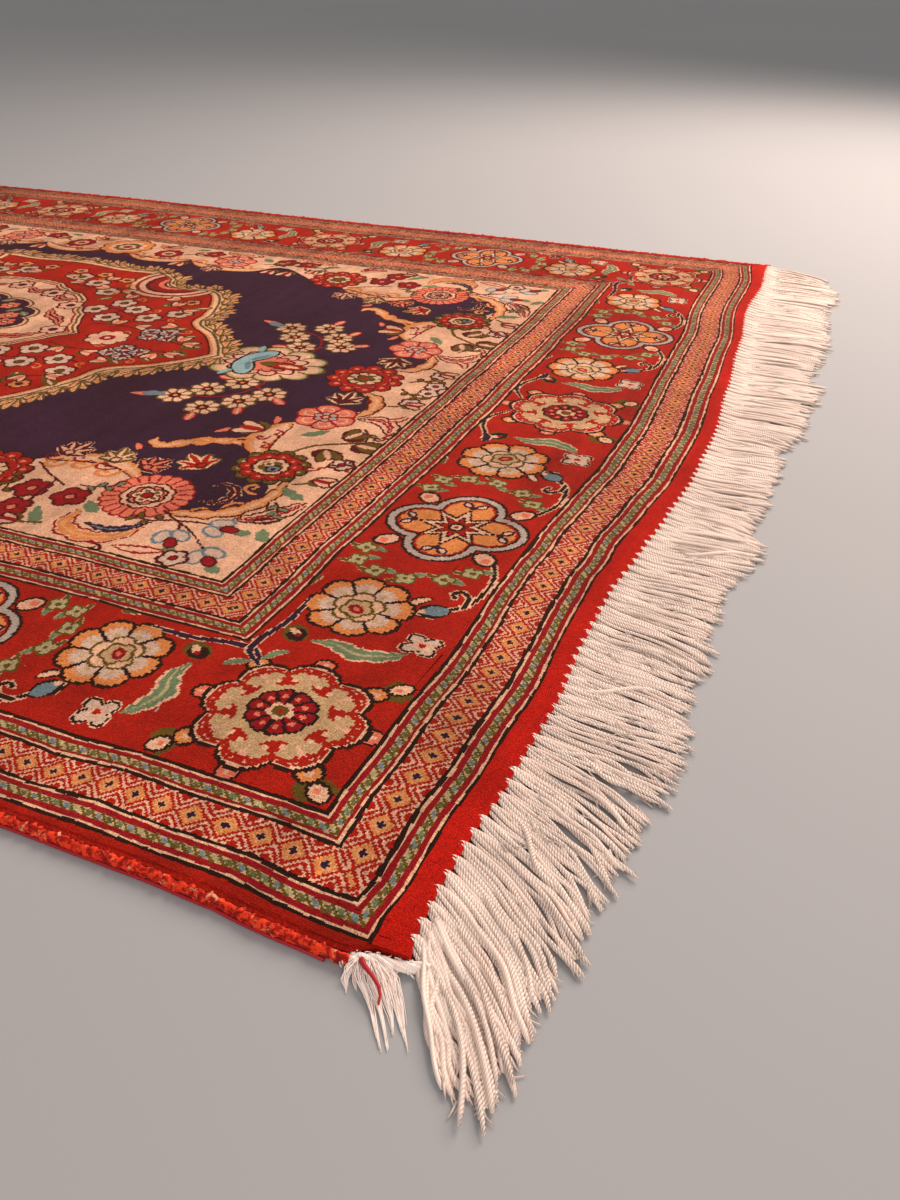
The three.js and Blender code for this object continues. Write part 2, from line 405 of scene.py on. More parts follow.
def peony(place, facing, mirror):
    """A ruffled flower on a blue calyx, with a vine, a spray of blossoms, a toothed leaf and a bud."""
    view, z = near(place, 92, facing, mirror)
    rope = [-13 + 29j, -22 + 38j, -36 + 42j, -52 + 42j, -66 + 37j]
    hook = [-20 + 37j, -29 + 37j, -34 + 32j, -31 + 28j, -27 + 30j]
    for path in (rope, hook):
        vines(view, z, path, [(2.4, "cream"), (1.0, "black")])
    for spot, turn in ((-57 - 35j, 20), (-43 - 33j, 50), (-36 - 19j, 30), (-35 - 1j, 60), (-42 + 18j, 15),
                       (-54 + 29j, 40)):
        tip = spot + 12 * np.exp(1j * np.radians(turn + 70))
        sprig_leaf(view, z, spot, tip, 1.8, "moss", "green")
        tip = spot + 11 * np.exp(1j * np.radians(turn - 120))
        sprig_leaf(view, z, spot, tip, 1.4, "cream", "olive")
        fill(view, scallop(z - spot, 4, 3.2, 5.8, turn) - 1.0, "olive")
        fill(view, scallop(z - spot, 4, 3.0, 5.6, turn), "moss")
        fill(view, disc(z, spot, 1.5), "olive")
    # On the rosette's side: the toothed leaf, a square blossom and the bud.
    frond = [40 - 17j, 38 - 5j, 42 + 7j, 38 + 19j, 32 + 27j]
    vines(view, z, frond, [(7.4, "cream"), (5.2, "green")], 0.8, 6)
    vines(view, z, frond, [(1.2, "moss")], 0.9)
    cross = folded(z - 21 - 30j, 4, 40)
    fill(view, oval(cross, 6.2, 5.8, 5.2), "cream")
    fill(view, oval(cross, 6.0, 4.9, 4.2), "black")
    fill(view, oval(cross, 5.2, 4.6, 3.6), "lilac")
    discs(view, z, 21 + 30j, (3.6, "pink"), (1.6, "red"))
    fill(view, oval(z, 37 - 28j, 8.4, 6.4, 30), "olive")
    fill(view, oval(z, 38 - 27j, 6.6, 5.0, 30), "black")
    fill(view, oval(z, 35.4 - 29j, 4.2, 2.6, 60), "cream")
    fill(view, disc(z, 38 - 26j, 1.7), "crimson")
    sprig_leaf(view, z, -8 - 46j, -20 - 43j, 2.2, "cream", "olive")
    # The calyx and two cream sepals.
    sprig_leaf(view, z, -6 + 15j, -4 + 27j, 2.2, "black", "cream")
    sprig_leaf(view, z, -10 + 12j, -22 + 20j, 2.2, "black", "cream")
    fill(view, oval(z, -11 + 25j, 8.0, 6.2, 115), "black")
    fill(view, oval(z, -11.5 + 26j, 6.6, 4.8, 115), "sky")
    fill(view, disc(z, -8.5 + 19.5j, 2.2), "cream")
    # The petals, from the ruffled edge in to the heart.
    w = z + 11j
    ruffle = scallop(w, 8, 22, 27.5, 12, 0.5)
    wave = 0.9 * np.sin(44 * np.angle(w))
    fill(view, ruffle - 2.0, "black")
    fill(view, ruffle + wave * 0.6, "orange")
    fill(view, ruffle + 5 + wave, "lilac")
    fold = folded(w, 8, 12)
    gap = np.maximum(abs(abs(np.angle(fold)) - np.pi / 8) * abs(w) - 0.8, 9 - abs(w))
    fill(view, np.maximum(gap, ruffle), "black")
    fill(view, disc(fold, 15.4, 1.4), "beige")
    fill(view, scallop(w - 1, 5, 11, 14.6, 40), "olive")
    fill(view, scallop(w - 1, 5, 9.8, 13.4, 40), "cream")
    fill(view, scallop(w - 2, 5, 6.6, 9.6, 10), "olive")
    fill(view, scallop(w - 2, 5, 5.4, 8.4, 10), "beige")
    ovals(view, w, 3, 60, (4.6, 3.4, "crimson"), (2.6, 1.6, "salmon"))


def quatrefoil(place, facing):
    """Four round lobes with a paired leaf in each, an eight-pointed star over them and buds between."""
    view, z = near(place, 56, facing)
    quarter = abs(z.real) + 1j * abs(z.imag)
    ovals(view, quarter, 29.5 + 29.5j, 45, (8.2, 6.8, "black"), (6.8, 5.4, "pink"))
    fill(view, disc(quarter, 31 + 31j, 2.4), "salmon")
    lobes = np.minimum(disc(quarter, 20.5, 21), disc(quarter, 20.5j, 21))
    bands(view, lobes, (-1.5, "black"), (0, "grey"), (4.2, "black"), (5.2, "red"), (6.6, "orange"))
    for spot, across_lobe in ((29.5, 0), (29.5j, 90)):
        ray = spot / abs(spot)
        for side in (-1, 1):
            turn = 50 * side + across_lobe
            fill(view, oval(quarter, spot + 4.2j * side * ray, 4.2, 2.9, turn), "navy")
            fill(view, oval(quarter, spot + 4.4j * side * ray, 2.6, 1.5, turn), "cream")
        fill(view, disc(quarter, spot - 3 * ray, 2.1), "navy")
    fold = folded(z, 8)
    for long, wide, name in ((24.5, 9.4, "black"), (22, 7.4, "cream"), (15.5, 4.6, "black"),
                             (13.5, 3.6, "red")):
        point = np.maximum(fold.real / long + abs(fold.imag) / wide - 1, fold.real / long - 1)
        fill(view, point, name)
    discs(view, z, 0, (5.0, "black"), (3.8, "cream"), (1.7, "red"))


for step, towards in ((1, -1), (3, 1)):
    peony(end_line + 1j * PITCH * step, 1j * towards, towards > 0)
for step, towards in ((1, 1), (3, -1), (5, 1)):
    peony(PITCH * step + 1j * side_line, towards, towards < 0)
for spot in (end_line + 2j * PITCH, 4 * PITCH + 1j * side_line, 1j * side_line):
    quatrefoil(spot, 1)
# Vines that leave the rosettes on their inner side.
side_rosette = 2 * PITCH + 1j * side_line
inner_vine = [14 - 36j, 30 - 44j, 46 - 43j, 62 - 36j, 70 - 36j]
for spot, facing, mirror in ((end_line, 1j, True), (side_rosette, 1, False), (side_rosette, -1, True)):
    view, z = near(spot, 80, facing, mirror)
    vines(view, z, inner_vine, [(2.4, "cream"), (1.0, "black")], 0.2)
    sprig_leaf(view, z, 60 - 37j, 76 - 33j, 2.4, "cream", "navy")
rosette(end_line + 0j, 1, (1, 7))
rosette(side_rosette, 1j, (1, 7))
rosette(corner, 1, (1, 3, 7))
# At the corner one stem parts and follows both inner guards.
branch = [29 - 29j, 38 - 40j, 52 - 41j, 74 - 37j, 96 - 38j]
for facing, mirror in ((-1, True), (-1j, False)):
    view, z = near(corner, 120, facing, mirror)
    vines(view, z, branch, [(3.4, "cream")], 0.3, 9)
    vines(view, z, branch, [(1.5, "navy")], 0.3)
    sprig_leaf(view, z, 30 - 34j, 22 - 46j, 2.0, "cream", "green")


# Field: navy wool in the middle and sand wool in the four spandrels, whose lobed edge is lined with
# scrolling leaves. Blossoms, sprigs and a lotus pendant lie on both, each knotted from a few shapes.
inside = np.s_[:INNER_GUARD + END_SHIFT, :INNER_GUARD]
ground, spot = chart[inside], knots[inside]
spandrel_edge = [447, 455 + 30j, 468 + 36j, 470 + 60j, 455 + 84j, 429 + 108j, 428 + 142j, 440 + 160j,
                 470 + 194j, 475 + 222j, 450 + 247j, 409 + 245j, 388 + 219j, 369 + 209j, 343 + 207j,
                 318 + 215j, 288 + 242j, 262 + 240j, 246 + 250j, 222 + 266j, 206 + 266j, 192 + 252j,
                 176 + 243j, 150 + 239j, 124 + 243j, 108 + 254j, 94 + 258j, 82 + 246j, 64 + 240j, 42 + 241j,
                 24 + 251j, 0 + 254j, -40 + 250j, -40 - 10j]
fill(ground, region(spot, spandrel_edge), "navy")


def bloom(place, layers, turn=0.0):
    """A flower of layers: number of lobes, crest, valley, yarn."""
    view, z = near(place, layers[0][1] + 6)
    for lobes, crest, valley, name in layers:
        fill(view, scallop(z, lobes, valley, crest, turn) if lobes else disc(z, 0, crest), name)


def spokes(place, count, inner, outer, width, name, turn=0.0):
    """Short lines that point at a flower's heart."""
    view, z = near(place, outer + 4)
    spoke = abs(folded(z, count, turn).imag) - width
    fill(view, np.maximum(spoke, abs(abs(z) - (inner + outer) / 2) - (outer - inner) / 2), name)


def blade(points, layers, leaf=0.7, teeth=0):
    """A leaf along points, in layers of half width and yarn."""
    points = np.array(points)
    middle = (points.real.max() + points.real.min()) / 2 + 0.5j * (points.imag.max() + points.imag.min())
    view, z = near(middle, abs(points - middle).max() + layers[0][0] + 4)
    vines(view, z, points - middle, layers, leaf, teeth)


def stem(points, name="black", half_width=0.8):
    blade(points, [(half_width, name)], 0.0)


def floret(place, radius, petal, heart, edge="black", lobes=5, turn=0.0):
    """A small round flower with an outline and an outlined heart."""
    view, z = near(place, radius + 6)
    bands(view, scallop(z, lobes, radius * 0.66, radius, turn), (-1.8, edge), (0, petal))
    discs(view, z, 0, (radius * 0.36, edge), (radius * 0.26, heart))


def petal_ring(place, count, out, layers, turn=0.0):
    """A ring of round petals, each one outlined."""
    view, z = near(place, out + layers[0][0] + 3)
    discs(view, folded(z, count, turn), out, *layers)


def flame(place, facing, size, layers):
    """A small palmette of five pointed lobes."""
    view, z = near(place, size * 1.5, facing)
    for half_width, name in layers:
        for angle, long in ((-78, 0.72), (-40, 0.9), (0, 1.1), (40, 0.9), (78, 0.72)):
            tip = size * long * np.exp(1j * np.radians(angle))
            fill(view, vine(z, [-0.25 * size, tip * 0.45, tip], half_width, 0.55), name)

def scroll(points, half_width, teeth=0):
    """A scrolling leaf in shades of orange with a maroon outline."""
    blade(points, [(half_width + 1.4, "maroon"), (half_width, "orange"), (half_width * 0.7, "tan"),
                   (half_width * 0.3, "sand")], 0.6, teeth)


def curl(place, facing, size, name, half_width=1.1):
    """A small hook that turns in on itself."""
    turns = [0, 0.5 + 0.1j, 0.9 + 0.5j, 0.7 + 1j, 0.3 + 0.9j, 0.4 + 0.55j]
    stem([place + size * facing * turn for turn in turns], name, half_width)


def bud(place, facing, size, petal, heart, leaf="olive"):
    """A closed flower in its calyx."""
    view, z = near(place, size * 2.2, facing)
    for side in (-1j, 1j):
        sprig_leaf(view, z, -0.8 * size, 0.2 * size + 0.95 * side * size, size * 0.24, leaf, leaf)
    for wider, outer, inner in ((1.3, "maroon", "maroon"), (0, petal, heart)):
        long, wide = 0.9 * size + wider, 0.36 * size + wider
        for side in (-1, 1):
            fill(view, oval(z, 0.2 * size + 0.36j * side * size, long, wide, 24 * side), outer)
        fill(view, oval(z, 0.12 * size, 0.8 * size + wider * 0.4, 0.26 * size + wider * 0.4), inner)


def point_on(points, share):
    """The place at a share of the way through a list of points."""
    at = np.linspace(0, 1, len(points))
    return np.interp(share, at, np.real(points)) + 1j * np.interp(share, at, np.imag(points))


# Lobed arabesque leaves along the spandrels' edge.
scroll([444 + 158j, 424 + 149j, 405 + 150j, 388 + 158j, 374 + 172j, 363 + 171j, 361 + 164j], 6.5, 7)
scroll([434 + 104j, 428 + 124j, 431 + 144j, 442 + 160j], 10.5)
blade([435 + 110j, 431 + 125j, 434 + 142j], [(6.5, "sand")], 0.5)
for place, facing in ((432 + 118j, 1), (433 + 130j, 1j), (434 + 141j, 1), (472 + 46j, -1), (473 + 60j, -1j)):
    curl(place, facing, 8, "crimson", 0.9)
for place, facing in ((470 + 212j, -1), (462 + 236j, -1j), (446 + 251j, -1j), (388 + 160j, -1j),
                      (412 + 150j, -1j), (400 + 152j, 1j)):
    curl(place, facing, 11, "orange", 1.5)
scroll([458 + 28j, 470 + 36j, 476 + 56j, 470 + 76j], 6, 4)
scroll([480 + 186j, 481 + 212j, 471 + 237j, 452 + 250j, 430 + 254j], 6.5, 6)
for edge in ([314 + 222j, 330 + 212j, 350 + 207j, 372 + 211j, 392 + 226j],
             [196 + 256j, 180 + 244j, 152 + 239j, 124 + 243j, 104 + 256j],
             [98 + 256j, 84 + 246j, 62 + 240j, 40 + 242j, 20 + 254j]):
    scroll(edge, 6.5)
    lifted = [point + 3j for point in edge[1:-1]]
    stem(lifted, "sand", 1.6)
    for share in (0.25, 0.5, 0.75):
        turn = point_on(edge, share)
        curl(turn + 6j, 1j, 14, "orange", 1.5)
        curl(turn - 7 + 6j, -1 + 1j, 8, "crimson", 0.8)

# Large blossoms of the spandrels.
red_heart = [(0, 19, 0, "red"), (9, 14.6, 11.6, "black"), (9, 13.4, 10.4, "cream"), (5, 8.4, 5.8, "black"),
             (5, 7.2, 4.6, "olive"), (0, 2.8, 0, "red")]
pink_bloom = [(22, 31, 28.4, "crimson"), (22, 29.8, 27.2, "salmon"), (9, 18.6, 16.6, "maroon"),
              (9, 17.4, 15.4, "pink")]
olive_heart = [(9, 13.6, 11.4, "black"), (9, 12.4, 10.2, "cream"), (5, 8.6, 6, "olive")]
for place, turn in ((443 + 0j, 0), (288 + 252j, 9)):
    petal_ring(place, 11, 23.5, [(7.6, "black"), (6.4, "red"), (2.4, "salmon")], turn)
    petal_ring(place, 11, 17, [(4.8, "maroon"), (3.8, "salmon"), (1.4, "red")], turn + 16)
    bloom(place, red_heart, turn)
    spokes(place, 9, 9, 13, 0.6, "olive", turn + 20)
for place, turn in ((452 + 82j, 10), (150 + 272j, 20)):
    petal_ring(place, 6, 13.5, [(10.2, "crimson"), (8.9, "salmon"), (5.4, "pink"), (3.2, "salmon")], turn)
    spokes(place, 6, 3, 21, 0.8, "crimson", turn + 30)
    petal_ring(place, 6, 6, [(3.8, "crimson"), (2.7, "grey")], turn)
    bloom(place, [(0, 3.8, 0, "crimson"), (0, 2.6, 0, "cream")])
petal_ring(459 + 173j, 12, 21, [(6, "black"), (4.9, "olive"), (1.6, "moss")])
petal_ring(459 + 173j, 10, 16, [(6.2, "maroon"), (5.2, "red"), (1.6, "salmon")], 18)
bloom(459 + 173j, olive_heart)
view, z = near(459 + 173j, 14)
for offset, size, name in ((3 + 2j, 5.4, "black"), (3.6 + 2.4j, 4.2, "slate"), (-3 - 3j, 3.6, "cream"),
                           (-3 - 3j, 1.8, "olive"), (4 + 3j, 1.8, "navy")):
    fill(view, disc(z, offset, size), name)
bloom(409 + 241j, pink_bloom)
spokes(409 + 241j, 22, 20, 27, 0.6, "crimson", 8)
bloom(409 + 241j, [(7, 13.6, 11.4, "black"), (7, 12.2, 10, "salmon")], 12)
petal_ring(409 + 241j, 5, 6.4, [(4.9, "maroon"), (3.8, "cream"), (1.5, "olive")], 20)
bloom(409 + 241j, [(0, 4.4, 0, "maroon"), (0, 3.2, 0, "crimson")])
bloom(0 + 276j, [(9, 32, 27, "maroon"), (9, 30.6, 25.6, "orange"), (9, 22, 18, "sand"), (9, 16, 12, "olive"),
                 (7, 11, 8, "cream"), (0, 5, 0, "crimson")])
bloom(62 + 270j, [(9, 17, 14, "maroon"), (9, 15.6, 12.6, "crimson"), (9, 9, 7, "pink"), (0, 4.4, 0, "olive")])

# Sprigs on the sand ground: paired blue petals, dark red clusters, feathered leaves.
stem([432 + 254j, 446 + 262j, 462 + 270j, 484 + 288j], "maroon")
stem([446 + 262j, 462 + 258j, 476 + 259j], "maroon")
stem([450 + 264j, 454 + 272j, 456 + 278j], "maroon")
for place, turn in ((476 + 259j, 0), (455 + 281j, 60), (486 + 291j, 40)):
    ray = np.exp(1j * np.radians(turn))
    view, z = near(place, 22, ray)
    sprig_leaf(view, z, 8 + 0j, 20 - 2j, 2.4, "green", "green")
    for side in (-1, 1):
        fill(view, oval(z, 5.5j * side - 2, 8.2, 5.6, 25 * side), "sky")
        fill(view, oval(z, 5.5j * side - 2, 6.8, 4.2, 25 * side), "lilac")
    fill(view, oval(z, 6 + 0j, 6.4, 4.4, 0), "maroon")
    fill(view, oval(z, 6 + 0j, 5.2, 3.2, 0), "crimson")
for place in (334 + 262j, 365 + 262j, 341 + 287j, 232 + 292j, 206 + 290j, 112 + 288j):
    floret(place, 11.5, "crimson", "salmon", "maroon", 5, 20)
    spokes(place, 5, 5, 9, 0.7, "red", 20)
stem([312 + 228j, 330 + 240j, 350 + 250j], "maroon")
stem([340 + 246j, 342 + 262j, 345 + 276j], "maroon")
for root, tip in ((380 + 262j, 394 + 272j), (356 + 280j, 370 + 298j), (254 + 286j, 268 + 296j),
                  (176 + 294j, 188 + 284j), (482 + 196j, 502 + 206j), (452 + 118j, 466 + 104j),
                  (84 + 296j, 98 + 300j), (500 + 250j, 508 + 262j)):
    blade([root, (root + tip) / 2 + 1.5j, tip], [(4.6, "green")], 0.8, 3)
for points in ([214 + 304j, 232 + 306j, 250 + 304j, 262 + 300j],
               [30 + 300j, 44 + 292j, 54 + 294j, 66 + 302j], [120 + 304j, 140 + 298j, 160 + 304j]):
    blade(points, [(7.4, "crimson"), (6, "sand"), (3.6, "orange"), (1.0, "navy")], 0.8, 5)
for points in ([478 + 246j, 490 + 238j, 500 + 224j, 506 + 208j], [476 + 76j, 490 + 72j, 502 + 80j, 506 + 94j],
               [296 + 290j, 306 + 300j, 320 + 302j]):
    blade(points, [(8.2, "maroon"), (6.8, "pink"), (3.0, "crimson"), (1.0, "pink")], 0.7, 6)
for place in (496 + 32j, 500 + 151j, 500 + 8j, 470 + 300j):
    floret(place, 8, "lilac", "crimson", "maroon", 5)

for root, tip, calyx in ((486 + 190j, 500 + 179j, 1), (484 + 44j, 499 + 36j, 1), (372 + 296j, 352 + 300j, -1),
                         (262 + 276j, 250 + 268j, -1j), (186 + 272j, 200 + 280j, 1),
                         (82 + 274j, 96 + 282j, 1)):
    stem([root, (root + tip) / 2 + 1j, tip], "olive", 0.9)
    bud(tip, calyx, 7.5, "pink", "crimson", "olive")
blade([430 + 302j, 446 + 300j, 460 + 296j], [(4.4, "crimson"), (2.8, "sand")], 0.8)
blade([486 + 246j, 496 + 240j, 504 + 232j], [(4.2, "maroon"), (1.4, "pink")], 0.8, 4)
blade([492 + 70j, 502 + 66j, 506 + 56j], [(4.0, "crimson"), (2.4, "pink")], 0.8, 4)
for place, facing in ((504 + 150j, 1), (490 + 160j, 1j), (506 + 100j, -1j), (300 + 304j, 1), (416 + 304j, -1),
                      (160 + 296j, 1), (234 + 276j, 1j), (48 + 300j, 1), (132 + 284j, -1)):
    curl(place, facing, 9, "crimson", 0.9)
    curl(place + 2, -facing, 7, "maroon", 0.9)

# Fine stems with small alternate leaves.
for points, leaf in (([488 + 92j, 494 + 100j, 498 + 112j], "green"),
                     ([444 + 262j, 430 + 268j, 420 + 266j], "olive"),
                     ([478 + 8j, 488 + 16j, 498 + 20j], "olive"),
                     ([360 + 246j, 372 + 244j, 382 + 238j], "green"),
                     ([316 + 240j, 312 + 254j, 318 + 268j], "olive"),
                     ([488 + 216j, 494 + 222j, 496 + 232j], "green"),
                     ([262 + 270j, 256 + 282j, 240 + 288j], "green"),
                     ([196 + 268j, 204 + 276j, 220 + 282j], "olive")):
    stem(points, "maroon", 0.7)
    for share, side in ((0.25, 1), (0.5, -1), (0.75, 1), (1.0, -1)):
        root = point_on(points, share)
        way = (points[-1] - points[0]) / abs(points[-1] - points[0])
        tip = root + 7.5 * way * np.exp(1j * side)
        blade([root, (root + tip) / 2 + 0.6 * way, tip], [(2.6, "maroon"), (1.7, leaf)], 0.7)
shell = [383 + 276j, 386 + 292j, 404 + 299j, 422 + 293j, 431 + 278j]
blade(shell, [(8.4, "crimson"), (7.2, "cream"), (5.4, "orange"), (2.0, "tan")], 0.5, 6)
frond = [396 + 285j, 412 + 287j, 424 + 281j, 433 + 270j]
blade(frond, [(5.4, "cream"), (4.2, "navy"), (1.0, "slate")], 0.8, 5)
# Three dark tulips on a bent stem.
stem([458 + 150j, 468 + 132j, 482 + 122j, 503 + 110j], "olive", 1.2)
for place, facing in ((485 + 106j, 0.5 - 1j), (501 + 119j, 1), (483 + 140j, 0.6 + 0.8j)):
    bud(place, facing / abs(facing), 10, "olive", "pink", "maroon")

# Loose blossoms on the navy ground.
crescent = [440 + 212j, 447 + 208j, 456 + 212j, 459 + 222j, 454 + 232j, 444 + 234j]
blade(crescent, [(5.4, "cream"), (4.2, "navy"), (3.4, "maroon"), (0.9, "pink")], 0.7, 6)
for place, facing, size, petal, heart in (
        (414 + 122j, -1, 12.5, "cream", "red"), (226 + 250j, -1j, 10, "cream", "crimson"),
        (206 + 250j, -1j, 9, "pink", "crimson"), (96 + 240j, -1j, 10, "cream", "red")):
    bud(place, facing, size, petal, heart)
for place, facing, size, outer, inner, heart in (
        (415 + 190j, -0.8 - 0.6j, 15, "olive", "cream", "red"),
        (448 + 50j, -1j, 15, "olive", "cream", "maroon"),
        (383 + 206j, 0.5 - 0.87j, 13, "cream", "maroon", "salmon"),
        (357 + 205j, -0.3 - 0.95j, 13, "cream", "olive", "cream"),
        (320 + 208j, 0.2 - 0.98j, 14, "cream", "maroon", "pink"),
        (142 + 240j, -1j, 12, "cream", "maroon", "pink")):
    flame(place, facing, size * 1.25, [(5.6, outer), (4.2, inner), (1.7, heart)])
    bloom(place, [(0, 4.2, 0, "maroon"), (0, 3, 0, heart)])
for points in ([420 + 96j, 424 + 108j], [398 + 128j, 392 + 138j], [360 + 186j, 354 + 178j]):
    blade([points[0], sum(points) / 2 + 1, points[1]], [(4, "maroon"), (2.8, "salmon")], 0.7)

# The pendant: a lotus palmette on a red stem, with a spray of florets on each side.
stem([300, 318, 336], "red", 1.6)
stem([372 + 28j, 374 + 52j, 362 + 76j, 340 + 86j, 300 + 94j], "crimson", 1.1)
stem([372 + 50j, 384 + 58j], "crimson", 1.1)
stem([366 + 70j, 372 + 82j, 358 + 104j, 359 + 120j], "crimson", 1.1)
for place in (358 + 47j, 391 + 61j, 340 + 69j, 377 + 82j, 324 + 91j, 357 + 103j):
    floret(place, 13.6, "cream", "orange", "olive", 8)
    spokes(place, 8, 5, 13, 0.5, "olive", 22.5)
    bloom(place, [(0, 5.0, 0, "maroon"), (0, 2.2, 0, "orange")])
for root, tip in ((312 + 92j, 290 + 100j), (357 + 114j, 360 + 128j), (400 + 66j, 412 + 74j),
                  (346 + 42j, 334 + 40j), (384 + 92j, 388 + 104j)):
    blade([root, (root + tip) / 2 + 1j, tip], [(5, "crimson"), (3.6, "salmon"), (1.2, "cream")], 0.7)
blade([314 + 92j, 306 + 94j, 300 + 97j], [(5, "sky")], 0.6)
view, z = near(366 + 0j, 58)
z = z.real + 1j * abs(z.imag)
fan = (z.real + 14) / 1.35 + 1j * z.imag
bands(view, scallop(fan, 11, 32, 39.5), (-1.8, "olive"), (0, "moss"), (2.6, "cream"), (11, "maroon"),
      (12.6, "pink"), (20, "maroon"), (21.4, "salmon"))
rib = folded(fan, 11, 180 / 11)
fill(view, np.maximum(abs(rib.imag) - 0.7, abs(abs(fan) - 31.5) - 4.5), "olive")
fill(view, np.maximum(abs(rib.imag) - 0.7, abs(abs(fan) - 20) - 4), "crimson")
ovals(view, z, -29 + 13j, 60, (20, 10.4, "black"), (18.4, 8.8, "pale_sky"))
fill(view, oval(z, -36 + 30j, 8, 3, 110), "pale_sky")
fill(view, oval(z, -26 + 10j, 9, 2.4, 60), "sky")
fill(view, oval(z, 2 + 0j, 20, 7.4, 0), "maroon")
fill(view, oval(z, 3 + 0j, 18, 5.6, 0), "red")
fill(view, oval(z, 8 + 0j, 10, 2.8, 0), "cream")
fill(view, oval(z, -12 + 0j, 7, 5, 0), "olive")

# Medallion: a long red star of knotted wool in the middle of the field. Its lobed hem is cream, olive and
# orange with sprays of small leaves round it, and blossoms on maroon stems fill the red.
MEDALLION_HALF = 336, 238
medallion_edge = [308, 294 + 22j, 272 + 48j, 243 + 70j, 238 + 94j, 224 + 130j, 208 + 156j, 188 + 167j,
                  166 + 160j, 142 + 166j, 128 + 187j, 100 + 202j, 60 + 200j, 20 + 206j, -10 + 206j,
                  -60 + 200j, -60 - 10j]
window = np.s_[:round(MEDALLION_HALF[0] / KNOT), :round(MEDALLION_HALF[1] / KNOT)]
ground, spot = chart[window], knots[window]
# A spray of four leaves every 17 mm round the hem, longer and shorter by turns.
spray_leaf = [(4.4, "olive"), (2.9, "cream"), (1.0, "orange")]
tips = curve(medallion_edge, 40)
walked = np.append(0, abs(np.diff(tips)).cumsum())
for number, walk in enumerate(np.arange(6, walked[-1], 17)):
    root, ahead = (np.interp(at, walked, tips.real) + 1j * np.interp(at, walked, tips.imag)
                   for at in (walk, walk + 2))
    if root.real < -9 or root.imag < -9 or ahead == root:
        continue
    way = (ahead - root) / abs(ahead - root)
    for angle, long in ((-100, 9), (-72, 15), (-45, 19), (-18, 15)):
        tip = root + (long + 4 * np.sin(2.1 * number)) * way * np.exp(1j * np.radians(angle))
        blade([root, (root + tip) / 2 + 1.2 * way, tip], spray_leaf, 0.5)
edge = region(spot, medallion_edge)
lap = 2.2 * abs(np.sin(np.angle(spot - 60) * 34)) + 1.8 * abs(np.sin((spot.real + spot.imag) / 5.2))
for depth, name in ((-3.4, "olive"), (-2.0, "cream"), (2.8, "olive"), (4.6, "sand"), (9.0, "orange"),
                    (11.0, "maroon")):
    fill(ground, edge + depth + lap * (depth < 0), name)
fill(ground, edge + 12.6, "red")
# Half palmettes at the shoulders.
fan = abs(spot - (146 + 172j))
for radius, name in ((52, "olive"), (50.5, "cream"), (45, "crimson"), (42, "pink"), (35, "maroon"),
                     (31, "crimson"), (22, "salmon"), (16, "maroon"), (14, "cream")):
    fill(ground, np.maximum(fan - radius, edge + 5), name)
# Blossoms of the red ground.
for points in ([40 + 130j, 70 + 124j, 100 + 132j, 124 + 124j], [176 + 112j, 196 + 100j, 214 + 96j],
               [150 + 30j, 176 + 34j, 204 + 30j, 236 + 22j], [232 + 20j, 250 + 12j, 276 + 8j],
               [10 + 160j, 30 + 152j, 60 + 160j, 84 + 150j]):
    stem(points, "maroon", 1.0)
stem([112 + 60j, 136 + 74j, 160 + 66j, 190 + 58j, 206 + 62j], "maroon", 1.0)
stem([124 + 66j, 134 + 88j], "maroon", 1.0)
stem([148 + 70j, 146 + 48j], "maroon", 1.0)
for place in (136 + 92j, 160 + 80j, 186 + 62j, 122 + 66j, 149 + 49j, 206 + 84j, 96 + 118j, 66 + 140j,
              36 + 152j):
    floret(place, 12.5, "lilac", "olive", "maroon", 5, 25)
    spokes(place, 5, 5.5, 10, 0.6, "cream", 25)
for place in (20 + 170j, 54 + 168j, 88 + 160j, 196 + 120j):
    floret(place, 8.5, "orange", "navy", "maroon", 5)
for root, tip in ((226 + 40j, 238 + 50j), (246 + 24j, 258 + 34j), (262 + 6j, 278 + 12j),
                  (210 + 104j, 222 + 112j), (104 + 92j, 112 + 104j), (176 + 100j, 184 + 112j)):
    blade([root, (root + tip) / 2, tip], [(6, "olive"), (2, "cream")], 0.7)
for place in (214 + 30j, 231 + 34j, 220 + 17j, 238 + 20j):
    floret(place, 9, "lilac", "crimson", "navy", 5, 10)
    spokes(place, 5, 4, 8, 0.7, "navy", 10)
for place, facing in ((112 + 128j, 1), (84 + 130j, -1), (186 + 108j, 1j), (208 + 96j, 1), (168 + 40j, 1j),
                      (196 + 38j, 1), (222 + 50j, -1), (252 + 22j, 1j), (264 + 14j, 1), (46 + 136j, -1),
                      (22 + 150j, 1), (70 + 158j, 1j), (174 + 124j, -1), (128 + 112j, 1j)):
    bud(place, facing, 8, "cream", "salmon")
for place, facing in ((100 + 112j, 1), (150 + 104j, 1j), (216 + 70j, -1), (176 + 78j, 1), (240 + 36j, 1),
                      (56 + 146j, 1), (200 + 14j, 1j), (108 + 150j, -1)):
    curl(place, facing, 9, "orange", 1.0)
bloom(188 + 0j, [(8, 21, 17, "maroon"), (8, 19.6, 15.6, "cream"), (8, 13, 10, "pink"), (0, 7, 0, "crimson"),
                 (0, 3, 0, "cream")])

